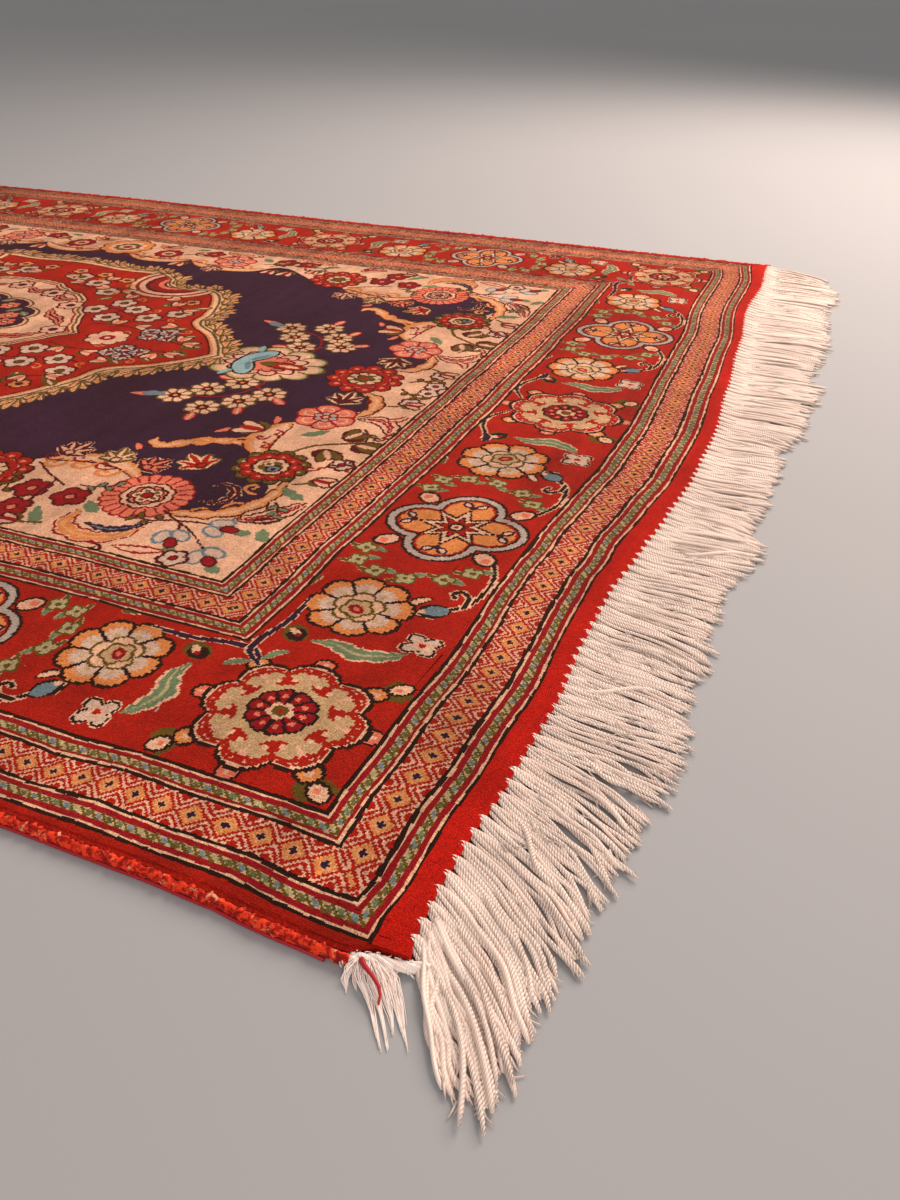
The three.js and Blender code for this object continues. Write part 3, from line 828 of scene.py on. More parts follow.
# Inner medallion: a smaller star of sand wool in a scalloped hem, with leaves and blossoms on it, and at
# the rug's middle a twelve-lobed navy heart with florets.
inner_edge = [156, 142 + 20j, 128 + 44j, 104 + 70j, 88 + 96j, 58 + 110j, 30 + 126j, 0 + 126j, -40 + 120j,
              -40 - 10j]
edge = region(spot, inner_edge)
lap = 2.0 * abs(np.sin(np.angle(spot) * 17))
for depth, name in ((-1.5, "maroon"), (0, "cream"), (3, "olive"), (4.6, "cream"), (7.6, "red"), (9, "sand")):
    fill(ground, edge + depth + lap, name)
for points in ([126 + 8j, 112 + 26j, 96 + 34j, 84 + 50j], [84 + 84j, 70 + 78j, 60 + 92j],
               [40 + 104j, 30 + 90j, 14 + 100j]):
    blade(points, [(7, "maroon"), (5.4, "salmon"), (1.4, "navy")], 0.7, 5)
for place in (128 + 0j, 92 + 66j, 50 + 92j, 0 + 102j):
    floret(place, 12, "pink", "navy", "maroon", 6)
heart = scallop(spot.real / 1.3 + 1j * spot.imag, 12, 62, 70)
bands(ground, heart, (-2.6, "olive"), (-1.2, "cream"), (1.4, "maroon"), (2.8, "navy"))
for place in (62 + 16j, 40 + 42j, 0 + 52j, 72 + 0j):
    floret(place, 10, "salmon", "cream", "maroon", 6)
for root, tip in ((50 + 26j, 58 + 38j), (22 + 50j, 30 + 60j), (66 + 30j, 76 + 22j), (14 + 46j, 8 + 60j)):
    blade([root, (root + tip) / 2 + 1, tip], [(4, "green"), (1.2, "moss")], 0.7)

# Guards: a narrow band on each side of the main border, a lattice of pink and red diamonds between two
# chains of beads. Their lines are one or two knots wide, so both repeats are charted knot by knot.
INNER_CHAIN = ["black", "black", "cream", "crimson", "crimson", 0, 1, 2, 3, "crimson", "cream", "black",
               "black"]
OUTER_CHAIN = INNER_CHAIN[:10] + ["crimson", "cream", "black", "black"]
# One bead of the chain; the empty knots are its heart, which changes from bead to bead.
BEAD = [["moss", "beige", "beige", "olive", "moss"],
        ["beige", None, None, "moss", "olive"],
        ["olive", "moss", None, None, "beige"],
        ["beige", "olive", "olive", "beige", "moss"]]
BEAD_KNOTS = 5
BEAD_HEARTS = ["slate", "reed", "sage", "slate", "moss", "reed"]
# One diamond of the lattice, from its middle out.
DIAMOND = ["navy", "navy", "tan", "tan", "orange", "tan", "red", "pink", "pink", "red", "pink", "pink", "red",
           "red"]
DIAMOND_LONG, DIAMOND_WIDE = 13, 15
NO_YARN = 255


def chain_guard(first, lines):
    """A chain of beads from a ring of knots outwards, line by line."""
    for step, name in enumerate(lines):
        line = ring == first + step
        if name in yarn:
            chart[line] = yarn[name]
            continue
        heart = np.array([yarn[bead] for bead in BEAD_HEARTS])[run // BEAD_KNOTS % len(BEAD_HEARTS)]
        bead = np.array([yarn.get(knot, NO_YARN) for knot in BEAD[name]])[run % BEAD_KNOTS]
        chart[line] = np.where(bead == NO_YARN, heart, bead)[line]


def diamond_guard(first):
    """A lattice of diamonds from a ring of knots outwards."""
    from_middle = abs((run + DIAMOND_LONG // 2) % DIAMOND_LONG - DIAMOND_LONG // 2)
    from_middle = from_middle + abs(ring - first - DIAMOND_WIDE // 2)
    band = (ring >= first) & (ring < first + DIAMOND_WIDE)
    chart[band] = np.array([yarn[name] for name in DIAMOND])[np.minimum(from_middle, len(DIAMOND) - 1)][band]


for first in (OUTER_GUARD, INNER_GUARD):
    chain_guard(first, INNER_CHAIN)
    diamond_guard(first + len(INNER_CHAIN))
    chain_guard(first + len(INNER_CHAIN) + DIAMOND_WIDE, OUTER_CHAIN)

# Pile as knotted: the quarter is repeated in the other three. The knotter's lines stray by half a millimetre
# or so, and the pile has caught pale lint. Knots of one yarn that lie together are one flat block.
full = np.concatenate([chart[::-1], chart], 0)
full = np.concatenate([full[:, ::-1], full], 1)
full_ring = np.concatenate([ring[::-1], ring], 0)
full_ring = np.concatenate([full_ring[:, ::-1], full_ring], 1)
last = np.array(full.shape)
BLOCK_KNOTS, STRAY_MM = 32, 0.6
LINT_COUNT, LINT_MARGIN = 50, 20
PILE_TOP, PILE_RIM_DROP, RIM_WIDTH = 6.0, 0.9, 3.0
# Tufts lap over their neighbours by this share of a knot, pale ones more, and their ends are ragged.
LAP_LEAST, LAP_PALE, TUFT_RAGGED = 0.12, 0.16, 0.28
# Dark tufts stand proud of pale ones by this height (mm), most of it by shade and the rest by luck.
TUFT_UNEVEN, BY_SHADE, BY_LUCK = 0.18, 0.8, 0.2
# The lines of the guards waver most, every six knots.
GUARD_RUN, GUARD_RAGGED = 6, 0.4
# At the rim the knots end just past the cloth, and blocks are cut at each of the last knots to round it.
RIM_OVER, RIM_KNOTS, RIM_KEY = 0.3, 3, 100
rng = np.random.default_rng(7)


def drift():
    """How far (knots) each corner of the knots has strayed, nothing at the rim of the cloth."""
    coarse = rng.normal(0, STRAY_MM / KNOT, (last[0] // BLOCK_KNOTS + 2, last[1] // BLOCK_KNOTS + 2))
    coarse[[0, -2, -1]] = 0
    coarse[:, [0, -2, -1]] = 0
    at_row, at_column = (np.arange(length + 1) / BLOCK_KNOTS for length in full.shape)
    between = np.array([np.interp(at_row, np.arange(coarse.shape[0]), column) for column in coarse.T])
    return np.array([np.interp(at_column, np.arange(coarse.shape[1]), line) for line in between.T])


row_drift, column_drift = drift(), drift()
lint_rows = rng.integers(LINT_MARGIN, last[0] - LINT_MARGIN, LINT_COUNT)
lint_columns = rng.integers(LINT_MARGIN, last[1] - LINT_MARGIN, LINT_COUNT)
for row, column, long in zip(lint_rows, lint_columns, rng.integers(1, 4, LINT_COUNT)):
    full[row, column:column + long] = yarn["grey"]

# Sheared wool pile: soft and matt with a silky nap that pales at a low angle. Knots differ a little in shade,
# rows fade in and out where dye lots change, and trodden patches are lighter or darker.
wool, tree, shader = new_material("sheared_wool_pile", Roughness=0.85, Specular_IOR_Level=0.06,
                                  Sheen_Weight=0.09, Sheen_Roughness=0.4, Sheen_Tint=linear("#FF9870"))
dye = add_node(tree, "Attribute", {"attribute_name": "yarn"})
flat_place = add_node(tree, "UVMap", {"uv_map": "OFBake"})
knot_place = add_node(tree, "VectorMath", {"operation": "MULTIPLY"}, i0=flat_place.outputs["UV"],
                      i1=(2.0 * HALF_KNOTS[0], 2.0 * HALF_KNOTS[1], 1))
one_knot = add_node(tree, "VectorMath", {"operation": "FLOOR"}, i0=knot_place.outputs["Vector"])
flat = {"noise_dimensions": "2D"}
knot_luck = add_node(tree, "TexWhiteNoise", flat, Vector=one_knot.outputs["Vector"])
# Places are in knots of 1.1 mm: a tuft for each knot, fibres of 0.65 mm, dye lots 18 mm long and 183 mm wide.
tufts = add_node(tree, "TexVoronoi", {"voronoi_dimensions": "2D"}, Vector=knot_place.outputs["Vector"],
                 Scale=1.0, Randomness=0.6)
fibres = add_node(tree, "TexNoise", flat, Vector=knot_place.outputs["Vector"], Scale=1.7, Detail=3.0)
lots = add_node(tree, "VectorMath", {"operation": "MULTIPLY"}, i0=knot_place.outputs["Vector"],
                i1=(0.06, 0.006, 1))
fading = add_node(tree, "TexNoise", flat, Vector=lots.outputs["Vector"], Scale=1.0, Detail=3.0)
# Trodden patches, fourteen to the rug each way: 101 mm long and 72 mm wide.
trodden = add_node(tree, "TexNoise", flat, Vector=flat_place.outputs["UV"], Scale=14.0, Detail=7.0,
                   Roughness=0.72)
# Each of these makes the yarn lighter or darker by up to a quarter or so.
knot_shade = add_node(tree, "MapRange", Value=knot_luck.outputs["Value"], To_Min=0.82, To_Max=1.16)
level = knot_shade.outputs["Result"]
for pattern, darkest, lightest in ((fading, 0.86, 1.14), (trodden, 0.76, 1.24), (fibres, 0.72, 1.24)):
    shade = add_node(tree, "MapRange", Value=pattern.outputs["Fac"], From_Min=0.3, From_Max=0.7,
                     To_Min=darkest, To_Max=lightest)
    product = add_node(tree, "Math", {"operation": "MULTIPLY"}, i0=level, i1=shade.outputs["Result"])
    level = product.outputs["Value"]
shaded = add_node(tree, "VectorMath", {"operation": "SCALE"}, i0=dye.outputs["Color"], Scale=level)
tree.links.new(shaded.outputs["Vector"], shader.inputs["Base Color"])
domes = add_node(tree, "Math", {"operation": "MULTIPLY_ADD"}, i0=tufts.outputs["Distance"], i1=-0.8,
                 i2=fibres.outputs["Fac"])
relief = add_node(tree, "Bump", Strength=0.75, Distance=0.8 * MM, Height=domes.outputs["Value"])
tree.links.new(relief.outputs["Normal"], shader.inputs["Normal"])

colours = np.array([linear(shade) for shade in yarns.values()])
paleness = colours[:, :3].mean(1) / colours[:, :3].mean(1).max()
# In the guards the black lines lie lowest of all, half hidden by the cream next to them.
guard_sunk = np.where(np.arange(len(paleness)) == yarn["black"], 1, paleness)


def blocks_of(band, longest):
    """Rectangles that cover a band's knots, none too long: first and last knot both ways, and yarn."""
    from_end, from_side = (np.minimum(np.arange(length), length - 1 - np.arange(length)) for length in last)
    rim_step = np.minimum(np.minimum(from_end[:, None], from_side[None, :]), RIM_KNOTS)
    key = np.where(band, full.astype(int) + RIM_KEY * rim_step, -1)
    tile = np.arange(last[1]) // BLOCK_KNOTS * BLOCK_KNOTS + np.arange(last[1]) % BLOCK_KNOTS // longest
    done, growing = [], {}
    for row in range(last[0]):
        cuts = np.flatnonzero((np.diff(key[row]) != 0) | (np.diff(tile) != 0)) + 1
        starts, stops = np.append(0, cuts), np.append(cuts, last[1])
        kept = {}
        for span in zip(starts.tolist(), stops.tolist(), key[row][starts].tolist()):
            if span[2] >= 0:
                kept[span] = growing.pop(span, row)
        done += [(*span, first, row) for span, first in growing.items()]
        growing = kept
        if row % BLOCK_KNOTS == BLOCK_KNOTS - 1 or row % BLOCK_KNOTS % longest == longest - 1:
            done += [(*span, first, row + 1) for span, first in growing.items()]
            growing = {}
    done += [(*span, first, last[0]) for span, first in growing.items()]
    left, right_side, value, first, stop = np.array(done).T
    return first, stop, left, right_side, value % RIM_KEY


def pile_piece(name, band, longest, ragged, sunk):
    """One band of the pile, a four-sided block for each rectangle of knots."""
    first, stop, left, right_side, dye_number = blocks_of(band, longest)
    rows_at = np.stack([first, stop, stop, first], -1)
    columns_at = np.stack([left, left, right_side, right_side], -1)
    from_rim = np.minimum(np.minimum(rows_at, last[0] - rows_at),
                          np.minimum(columns_at, last[1] - columns_at))
    height = PILE_TOP - PILE_RIM_DROP * np.clip(1 - from_rim * KNOT / RIM_WIDTH, 0, 1) ** 2
    by_luck = rng.uniform(0, BY_LUCK, (len(first), 1))
    height = height - TUFT_UNEVEN * (BY_SHADE * sunk[dye_number][:, None] + by_luck)
    lap = LAP_LEAST + LAP_PALE * paleness[dye_number][:, None]
    row_places = rows_at + lap * np.array([-1, 1, 1, -1]) + rng.uniform(-ragged, ragged, rows_at.shape)
    column_places = columns_at + lap * np.array([-1, -1, 1, 1]) + rng.uniform(-ragged, ragged, rows_at.shape)
    row_places = np.clip(row_places + row_drift[rows_at, columns_at], -RIM_OVER, last[0] + RIM_OVER)
    column_places = column_places + column_drift[rows_at, columns_at]
    column_places = np.where(columns_at == 0, -1, np.where(columns_at == last[1], last[1] + 1, column_places))
    points = lie((row_places - last[0] / 2) * KNOT, (column_places - last[1] / 2) * KNOT,
                 height).reshape(-1, 3)
    piece = new_piece(name, points, np.arange(len(points)).reshape(-1, 4), wool)
    yarn_colour = piece.data.attributes.new("yarn", "FLOAT_COLOR", "FACE")
    yarn_colour.data.foreach_set("color", colours[dye_number].astype(np.float32).ravel())
    flat_map = piece.data.uv_layers.new(name="OFBake")
    uv = np.stack([rows_at / last[0], columns_at / last[1]], -1)
    flat_map.data.foreach_set("uv", uv.astype(np.float32).ravel())
    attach(piece, "root")
    return piece


in_field = full_ring < INNER_GUARD
in_inner_guard = (full_ring >= INNER_GUARD) & (full_ring < MAIN_BORDER)
in_border = (full_ring >= MAIN_BORDER) & (full_ring < OUTER_GUARD)
in_outer_guard = full_ring >= OUTER_GUARD
pile_pieces = [
    pile_piece("pile_field", in_field, BLOCK_KNOTS, TUFT_RAGGED, paleness),
    pile_piece("pile_inner_guard", in_inner_guard, GUARD_RUN, GUARD_RAGGED, guard_sunk),
    pile_piece("pile_main_border", in_border, BLOCK_KNOTS, TUFT_RAGGED, paleness),
    pile_piece("pile_outer_guard", in_outer_guard, GUARD_RUN, GUARD_RAGGED, guard_sunk),
]

# Selvedges: the outermost warps on each long side, overcast with red wool and finished with one crimson
# thread along the foot. The turns show bright loops, partly worn and partly painted highlight, with painted
# shade between, and stop short at the near right corner.
SELVEDGE_HEIGHT, SELVEDGE_SHORT = 5.4, 4
SELVEDGE_STEP, SELVEDGE_SIDES = 1.7, 8
OVERCAST_UNEVEN = 0.42
EDGE_THREAD_THICKNESS, EDGE_THREAD_STEP, EDGE_THREAD_INSET = 1.6, 12, 0.4
FLOOR_GAP = 0.1
WORN_END = 16
# Each cord has its own stretch of the twist map, longer than any cord (mm).
CORD_SPAN = 2000


def cords(paths, thickness, sides=6, squash=1.0):
    """Closed round cords along paths (cord, ring, xyz) in mm: points, quads, places round and along."""
    tangent = np.gradient(paths, axis=1)
    tangent /= np.linalg.norm(tangent, axis=-1, keepdims=True)
    aside = np.cross(tangent, (0, 0, 1))
    aside /= np.linalg.norm(aside, axis=-1, keepdims=True)
    above = np.cross(aside, tangent)
    angle = 2 * np.pi * np.arange(sides) / sides
    radius = (thickness / 2 * np.ones(paths.shape[:2]))[..., None, None]
    ring = aside[:, :, None] * np.cos(angle)[:, None] + squash * above[:, :, None] * np.sin(angle)[:, None]
    points = paths[:, :, None] + radius * ring
    count, steps = paths.shape[:2]
    number = np.arange(count * steps * sides).reshape(count, steps, sides)
    turned = np.roll(number, -1, 2)
    walls = np.stack([number[:, :-1], turned[:, :-1], turned[:, 1:], number[:, 1:]], -1).reshape(-1, 4)
    fan = np.array([[0, k + 1, k + 2, k + 3] for k in range(0, sides - 2, 2)])
    starts, stops = number[:, 0][:, fan[:, ::-1]].reshape(-1, 4), number[:, -1][:, fan].reshape(-1, 4)
    walked = np.linalg.norm(np.diff(paths, axis=1), axis=-1).cumsum(1)
    walked = np.concatenate([np.zeros((count, 1)), walked], 1)
    round_at = (np.arange(sides)[:, None] + np.array([0, 1, 1, 0])) / sides
    u = np.broadcast_to(round_at, (count, steps - 1, sides, 4)).reshape(-1, 4)
    low, high = walked[:, :-1, None], walked[:, 1:, None]
    v = np.stack([low, low, high, high], -1) + CORD_SPAN * np.arange(count)[:, None, None, None]
    v = np.broadcast_to(v, (count, steps - 1, sides, 4)).reshape(-1, 4)
    caps = len(starts) + len(stops)
    place = np.stack([np.append(u.ravel(), np.zeros(caps * 4)), np.append(v.ravel(), np.zeros(caps * 4))], -1)
    return points.reshape(-1, 3) * MM, np.concatenate([walls, starts, stops]), place


def cord_piece(name, made, material, slot, *nodes):
    """A piece of cords that rides the rug and takes the place of some nodes."""
    points, faces, place = made
    piece = new_piece(name, points, faces, material)
    piece.data.polygons.foreach_set("use_smooth", np.ones(len(faces), bool))
    piece.data.uv_layers.new(name="twist").data.foreach_set("uv", place.astype(np.float32).ravel())
    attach(piece, "root")
    if nodes:
        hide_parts(*nodes)
    return piece


def joined(*parts):
    """Several cord bundles as one."""
    shift = np.cumsum([0] + [len(points) for points, _, _ in parts])
    points = np.concatenate([points for points, _, _ in parts])
    faces = np.concatenate([faces + start for (_, faces, _), start in zip(parts, shift)])
    return points, faces, np.concatenate([place for _, _, place in parts])


def turned_half(made):
    """The same cords on the other side or end of the rug."""
    points, faces, place = made
    return points * (-1, -1, 1), faces, place


# Overcast wool: red loops, bright in patches of wear and painted highlight, painted shade between, a few
# bleached to cream.
overcast_wool, tree, shader = new_material("overcast_red_wool", Roughness=0.85, Specular_IOR_Level=0.2,
                                           Sheen_Weight=0.08, Sheen_Tint=linear("#FFB08A"))
place = add_node(tree, "TexCoord")
loops = add_node(tree, "TexNoise", Vector=place.outputs["Object"], Scale=1 / (2.4 * MM), Detail=3.0,
                 Roughness=0.6)
# Where the loops' noise is high the wool is lighter, partly worn and partly painted highlight; where it is
# low, painted shade.
worn_highlight_share = add_node(tree, "MapRange", Value=loops.outputs["Fac"], From_Min=0.46, From_Max=0.57, To_Max=0.95)
painted_shade_share = add_node(tree, "MapRange", Value=loops.outputs["Fac"], From_Min=0.44, From_Max=0.36, To_Max=0.7)
bleached = add_node(tree, "TexNoise", Vector=place.outputs["Object"], Scale=1 / (4.5 * MM), Detail=4.0,
                    Roughness=0.7)
bleached_share = add_node(tree, "MapRange", Value=bleached.outputs["Fac"], From_Min=0.59, From_Max=0.65,
                          To_Max=0.9)
# The red wool darkened by painted shade, lightened by wear and painted highlight, then bleached in flecks.
painted_shade_side = add_node(tree, "MixRGB", Fac=painted_shade_share.outputs["Result"], Color1=linear("#A2140A"),
                       Color2=linear("#6A0E08"))
worn_highlight_side = add_node(tree, "MixRGB", Fac=worn_highlight_share.outputs["Result"], Color1=painted_shade_side.outputs["Color"],
                     Color2=linear("#F0401E"))
pale_side = add_node(tree, "MixRGB", Fac=bleached_share.outputs["Result"], Color1=worn_highlight_side.outputs["Color"],
                     Color2=linear("#DFA27C"))
tree.links.new(pale_side.outputs["Color"], shader.inputs["Base Color"])
fuzz = add_node(tree, "TexNoise", Vector=place.outputs["Object"], Scale=1 / (0.9 * MM), Detail=2.0)
relief = add_node(tree, "Bump", Strength=0.6, Distance=0.5 * MM, Height=fuzz.outputs["Fac"])
tree.links.new(relief.outputs["Normal"], shader.inputs["Normal"])

# Crimson thread: smooth tight wool, a thin even line at the foot of the edge.
crimson_thread, tree, shader = new_material("crimson_wool_thread", Roughness=0.6,
                                            Base_Color=linear("#A80F1E"))


def side_path(step, short_right, out, height):
    """A line along the near side, so far out from the middle (mm)."""
    along = np.arange(SELVEDGE_SHORT - half_length, half_length - SELVEDGE_SHORT - short_right, step)
    return np.stack([along, -(out + side_lie(along) - eased(along, SIDE_DRAW)), 0 * along + height], -1)[None]


def selvedge(short_right, luck):
    """The overcast cord with its uneven loops."""
    path = side_path(SELVEDGE_STEP, short_right, half_width - SELVEDGE_WIDTH / 2 - PIECE_GAP,
                     SELVEDGE_HEIGHT / 2)
    points, faces, place = cords(path, SELVEDGE_WIDTH, SELVEDGE_SIDES, SELVEDGE_HEIGHT / SELVEDGE_WIDTH)
    centre = np.repeat(path[0], SELVEDGE_SIDES, 0) * MM
    uneven = np.clip(luck.normal(0, OVERCAST_UNEVEN, (len(points), 1)), -1, 1)
    points = centre + (points - centre) * (1 + uneven / (SELVEDGE_WIDTH / 2))
    points[:, 2] = np.maximum(points[:, 2], FLOOR_GAP * MM)
    return points, faces, place


for side, short in (("near", WORN_END), ("far", 0)):
    overcast = selvedge(short, np.random.default_rng(3))
    foot = EDGE_THREAD_THICKNESS / 2 + FLOOR_GAP
    path = side_path(EDGE_THREAD_STEP, short, half_width - EDGE_THREAD_INSET, foot)
    thread = cords(path, EDGE_THREAD_THICKNESS, 6)
    if side == "far":
        overcast, thread = turned_half(overcast), turned_half(thread)
    cord_piece(f"selvedge_{side}_overcast", overcast, overcast_wool, "selvedge",
                                f"selvedge_{side}")
    cord_piece(f"selvedge_{side}_edge_thread", thread, crimson_thread, "selvedge")

# Fringe: the silk warp ends beyond the last knots, gathered in locks at the cloth's edge. A lock has six
# cords, two of them over its small head, each twisted of four plies. They lie on the floor, fanned at the
# corners, and fray at their tips.
LOCK_COUNT = 124
FIRST_LOCK, LAST_LOCK = -486, 497
CORD_THICKNESS, CORD_STEPS = 2.5, 16
# Length of the locks (mm) by their place across the end.
CORD_LENGTHS = {-486: 66, -440: 66, -387: 62, -260: 60, -199: 57, -157: 60, -116: 54, -70: 50, -8: 50, 50: 63,
                161: 70, 297: 74, 497: 73}
# Six cords to a lock, as places across it and heights at the edge (mm); the two of the head come first.
LOCK_CORDS = {"across": (-1.3, 1.3, -3.5, -1.0, 1.0, 3.5), "height": (4.8, 4.8, 3.3, 2.6, 2.0, 3.3)}
# The head of a lock, as steps back from the edge, share of its full spread, and drop (mm).
HEAD = {"back": (-1.8, -1.1, -0.3, 0.5), "spread": (0.1, 0.35, 0.5, 0.6), "drop": (0.6, 0.1, 0, 0)}
HEAD_SPREAD, HEAD_LENGTH = 0.6, 3.5
# Near 1.6 mm from ridge to ridge along a cord, four plies round it.
PLY_PITCH, PLY_COUNT = 1.6, 4
FRAY_COUNT, FRAY_LENGTH, FRAY_THICKNESS = 3, 8, 1.0
# Loose cords that the worn corner has shed among the first locks.
CORNER_CORDS = 26
# Cords and hairs that have fallen across the others: number, shortest and longest (mm), points along each.
STRAY_CORDS, STRAY_HAIRS, HAIR_THICKNESS = (9, 30, 44, 26), (300, 8, 20, 4), 0.6
# Locks that cling together lean and wave together. How untidy they are changes across the end.
BUNCH_LOCKS = (2, 5)
DISORDER = {-489: 0.75, -330: 0.9, -150: 1.4, 250: 1.4, 497: 0.9}
# Spreads of the lean and waving (degrees) and of the length (mm), for bunches and for single cords.
BUNCH_LEAN, BUNCH_WAVE, BUNCH_LENGTH = 2.4, 8.0, 2.2
CORD_LEAN, CORD_WAVE, CORD_LENGTH = 3.2, 5.0, 2.6
# The fan at each corner, as degrees and how far it reaches (mm), and the waves that the locks are combed in,
# as degrees and length (mm).
NEAR_FAN, FAR_FAN, COMBED_WAVES = (53, 108), (20, 110), ((5, 152), (3, 67))


def fringe_lean(across):
    """Degrees that a lock leans towards the near side: fanned at both corners, combed in waves between."""
    lean = NEAR_FAN[0] * np.exp((FIRST_LOCK - across) / NEAR_FAN[1])
    lean = lean + FAR_FAN[0] * np.exp((across - LAST_LOCK) / FAR_FAN[1])
    for degrees, length in COMBED_WAVES:
        lean = lean + degrees * np.sin(2 * np.pi * across / length)
    return lean


def fringe_paths(luck):
    """The middle lines of all cords of the right end (cord, point, xyz) in mm, roots first."""
    roots = np.linspace(FIRST_LOCK, LAST_LOCK, LOCK_COUNT)
    bunch = np.zeros(LOCK_COUNT, int)
    lock = 0
    while lock < LOCK_COUNT:
        size = luck.integers(*BUNCH_LOCKS, endpoint=True)
        bunch[lock:lock + size] = bunch[lock - 1] + 1 if lock else 0
        lock += size
    bunches = bunch.max() + 1
    middle = np.array([roots[bunch == number].mean() for number in range(bunches)])
    disorder = np.interp(roots, list(DISORDER), list(DISORDER.values()))
    bunch_lean = luck.normal(0, BUNCH_LEAN, bunches)[bunch] * disorder
    bunch_wobble = luck.normal(0, BUNCH_WAVE, bunches)[bunch] * disorder
    bunch_length = luck.normal(0, BUNCH_LENGTH, bunches)[bunch]
    bunch_phase = luck.uniform(0, 2 * np.pi, bunches)[bunch]
    draw = (middle[bunch] - roots) * 0.04
    share = np.linspace(0, 1, CORD_STEPS)
    made = []
    for number, (place, start) in enumerate(zip(*LOCK_CORDS.values())):
        size = (LOCK_COUNT, 1)
        length = np.interp(roots, list(CORD_LENGTHS), list(CORD_LENGTHS.values())) + bunch_length
        length = length + luck.normal(0, CORD_LENGTH, LOCK_COUNT)
        loose = 2.2 if number in (3, 4) else 1
        own_lean = luck.normal(0, CORD_LEAN, size) * disorder[:, None] * loose
        wobble = bunch_wobble[:, None] + luck.normal(0, CORD_WAVE, size) * disorder[:, None]
        phase = share * luck.uniform(1.2, 2.6, size)
        wave = np.sin(2 * np.pi * phase + bunch_phase[:, None] + luck.normal(0, 0.4, size) * loose)
        heading = fringe_lean(roots)[:, None] * (0.65 + 0.7 * share)
        heading = heading + (bunch_lean[:, None] + own_lean) * share
        heading = np.radians(heading + wobble * wave * share ** 0.5)
        step = (length / (CORD_STEPS - 1))[:, None]
        walk_x = np.concatenate([np.zeros(size), np.cumsum(np.cos(heading[:, 1:]) * step, 1)], 1)
        walk_y = np.concatenate([np.zeros(size), np.cumsum(-np.sin(heading[:, 1:]) * step, 1)], 1)
        gone = share * length[:, None]
        head = luck.normal(0, 0.35, size)
        edge = half_length + eased(roots, END_LIE)[:, None] + head
        x = edge + walk_x
        spread = 1 - (1 - HEAD_SPREAD) * np.exp(-gone / HEAD_LENGTH)
        y = roots[:, None] + walk_y + place * spread * (1 + 0.25 * share) + draw[:, None] * share ** 1.6
        lifted = luck.uniform(0, 1.6, size) + 1.6 * (luck.random(size) < 0.14)
        lying = CORD_THICKNESS / 2 + lifted * np.sin(np.pi * np.clip(share * 0.9, 0, 1)) ** 0.8
        z = lying + (start - lying) * np.exp(-(gone / 9) ** 1.6)
        back, pinch, drop = (np.array(row) for row in HEAD.values())
        back = back if number < 2 else back - 2.4
        root = np.stack([edge - 1 + back, roots[:, None] + place * pinch, start - drop + 0 * edge], -1)
        made.append(np.concatenate([root, np.stack([x, y, z], -1)], 1))
    # The loose cords of the worn corner lean most at its very edge, and sway.
    size = (CORNER_CORDS, 1)
    share = np.linspace(0, 1, CORD_STEPS + len(HEAD["back"]))
    root = np.linspace(0, 1, CORNER_CORDS)[:, None] ** 1.4
    sway = luck.normal(0, 13, size) * np.sin(share * luck.uniform(7, 17, size) + luck.uniform(0, 6, size))
    heading = np.radians(66 - 24 * root - 16 * share + luck.normal(0, 3, size) + sway)
    step = luck.uniform(44, 60, size) / (len(share) - 1)
    x = half_length - 1 - root + np.cumsum(np.cos(heading) * step, 1)
    y = FIRST_LOCK + 2 + 14 * root - np.cumsum(np.sin(heading) * step, 1)
    z = 1.0 + luck.uniform(0.6, 3.6, size) * np.cos(np.pi / 2 * share) ** 0.7
    made.append(np.stack([x, y, z], -1))
    return np.concatenate(made)


def frays(paths, luck):
    """Loose fibres that the tips part into."""
    count = len(paths) * FRAY_COUNT
    tips = np.repeat(paths[:, -3], FRAY_COUNT, 0)
    heading = np.repeat(paths[:, -1] - paths[:, -4], FRAY_COUNT, 0)
    angle = np.arctan2(heading[:, 1], heading[:, 0]) + luck.normal(0, 0.2, count)
    curl = luck.normal(0, 0.3, count)
    share = np.linspace(0, 1, 3)
    long = luck.uniform(0.5, 1.0, count) * FRAY_LENGTH
    turn = angle[:, None] + curl[:, None] * share
    offset = luck.normal(0, 0.55, (count, 2))
    x = tips[:, :1] + offset[:, :1] + np.cos(turn) * share * long[:, None]
    y = tips[:, 1:2] + offset[:, 1:] + np.sin(turn) * share * long[:, None]
    z = luck.uniform(0.4, 2.2, (count, 1)) * (1 - 0.8 * share) + FRAY_THICKNESS / 2
    return np.stack([x, y, z], -1)


def strays(paths, luck, count, shortest, longest, steps):
    """Cords or hairs that have fallen across the others."""
    settled = paths[paths[:, 0, 1] > FIRST_LOCK + 60]
    picked = settled[luck.choice(len(settled), count, replace=False)]
    share = np.linspace(0, 1, steps)
    swing = luck.choice((-1, 1), (count, 1)) * luck.uniform(0.35, 0.75, (count, 1))
    at = luck.integers(5, 11, count)
    start, ahead = picked[np.arange(count), at], picked[np.arange(count), at + 3]
    heading = np.arctan2(ahead[:, 1] - start[:, 1], ahead[:, 0] - start[:, 0])[:, None]
    turn = heading + swing * np.sin(np.pi * share * luck.uniform(0.7, 1.5, (count, 1)))
    step = luck.uniform(shortest, longest, (count, 1)) / (steps - 1)
    x = start[:, :1] + np.cumsum(np.cos(turn) * step, 1)
    y = start[:, 1:2] + np.cumsum(np.sin(turn) * step, 1)
    z = CORD_THICKNESS * (0.9 + 0.55 * np.sin(np.pi * share ** 0.8)) + 0 * x
    return np.stack([x, y, z], -1)
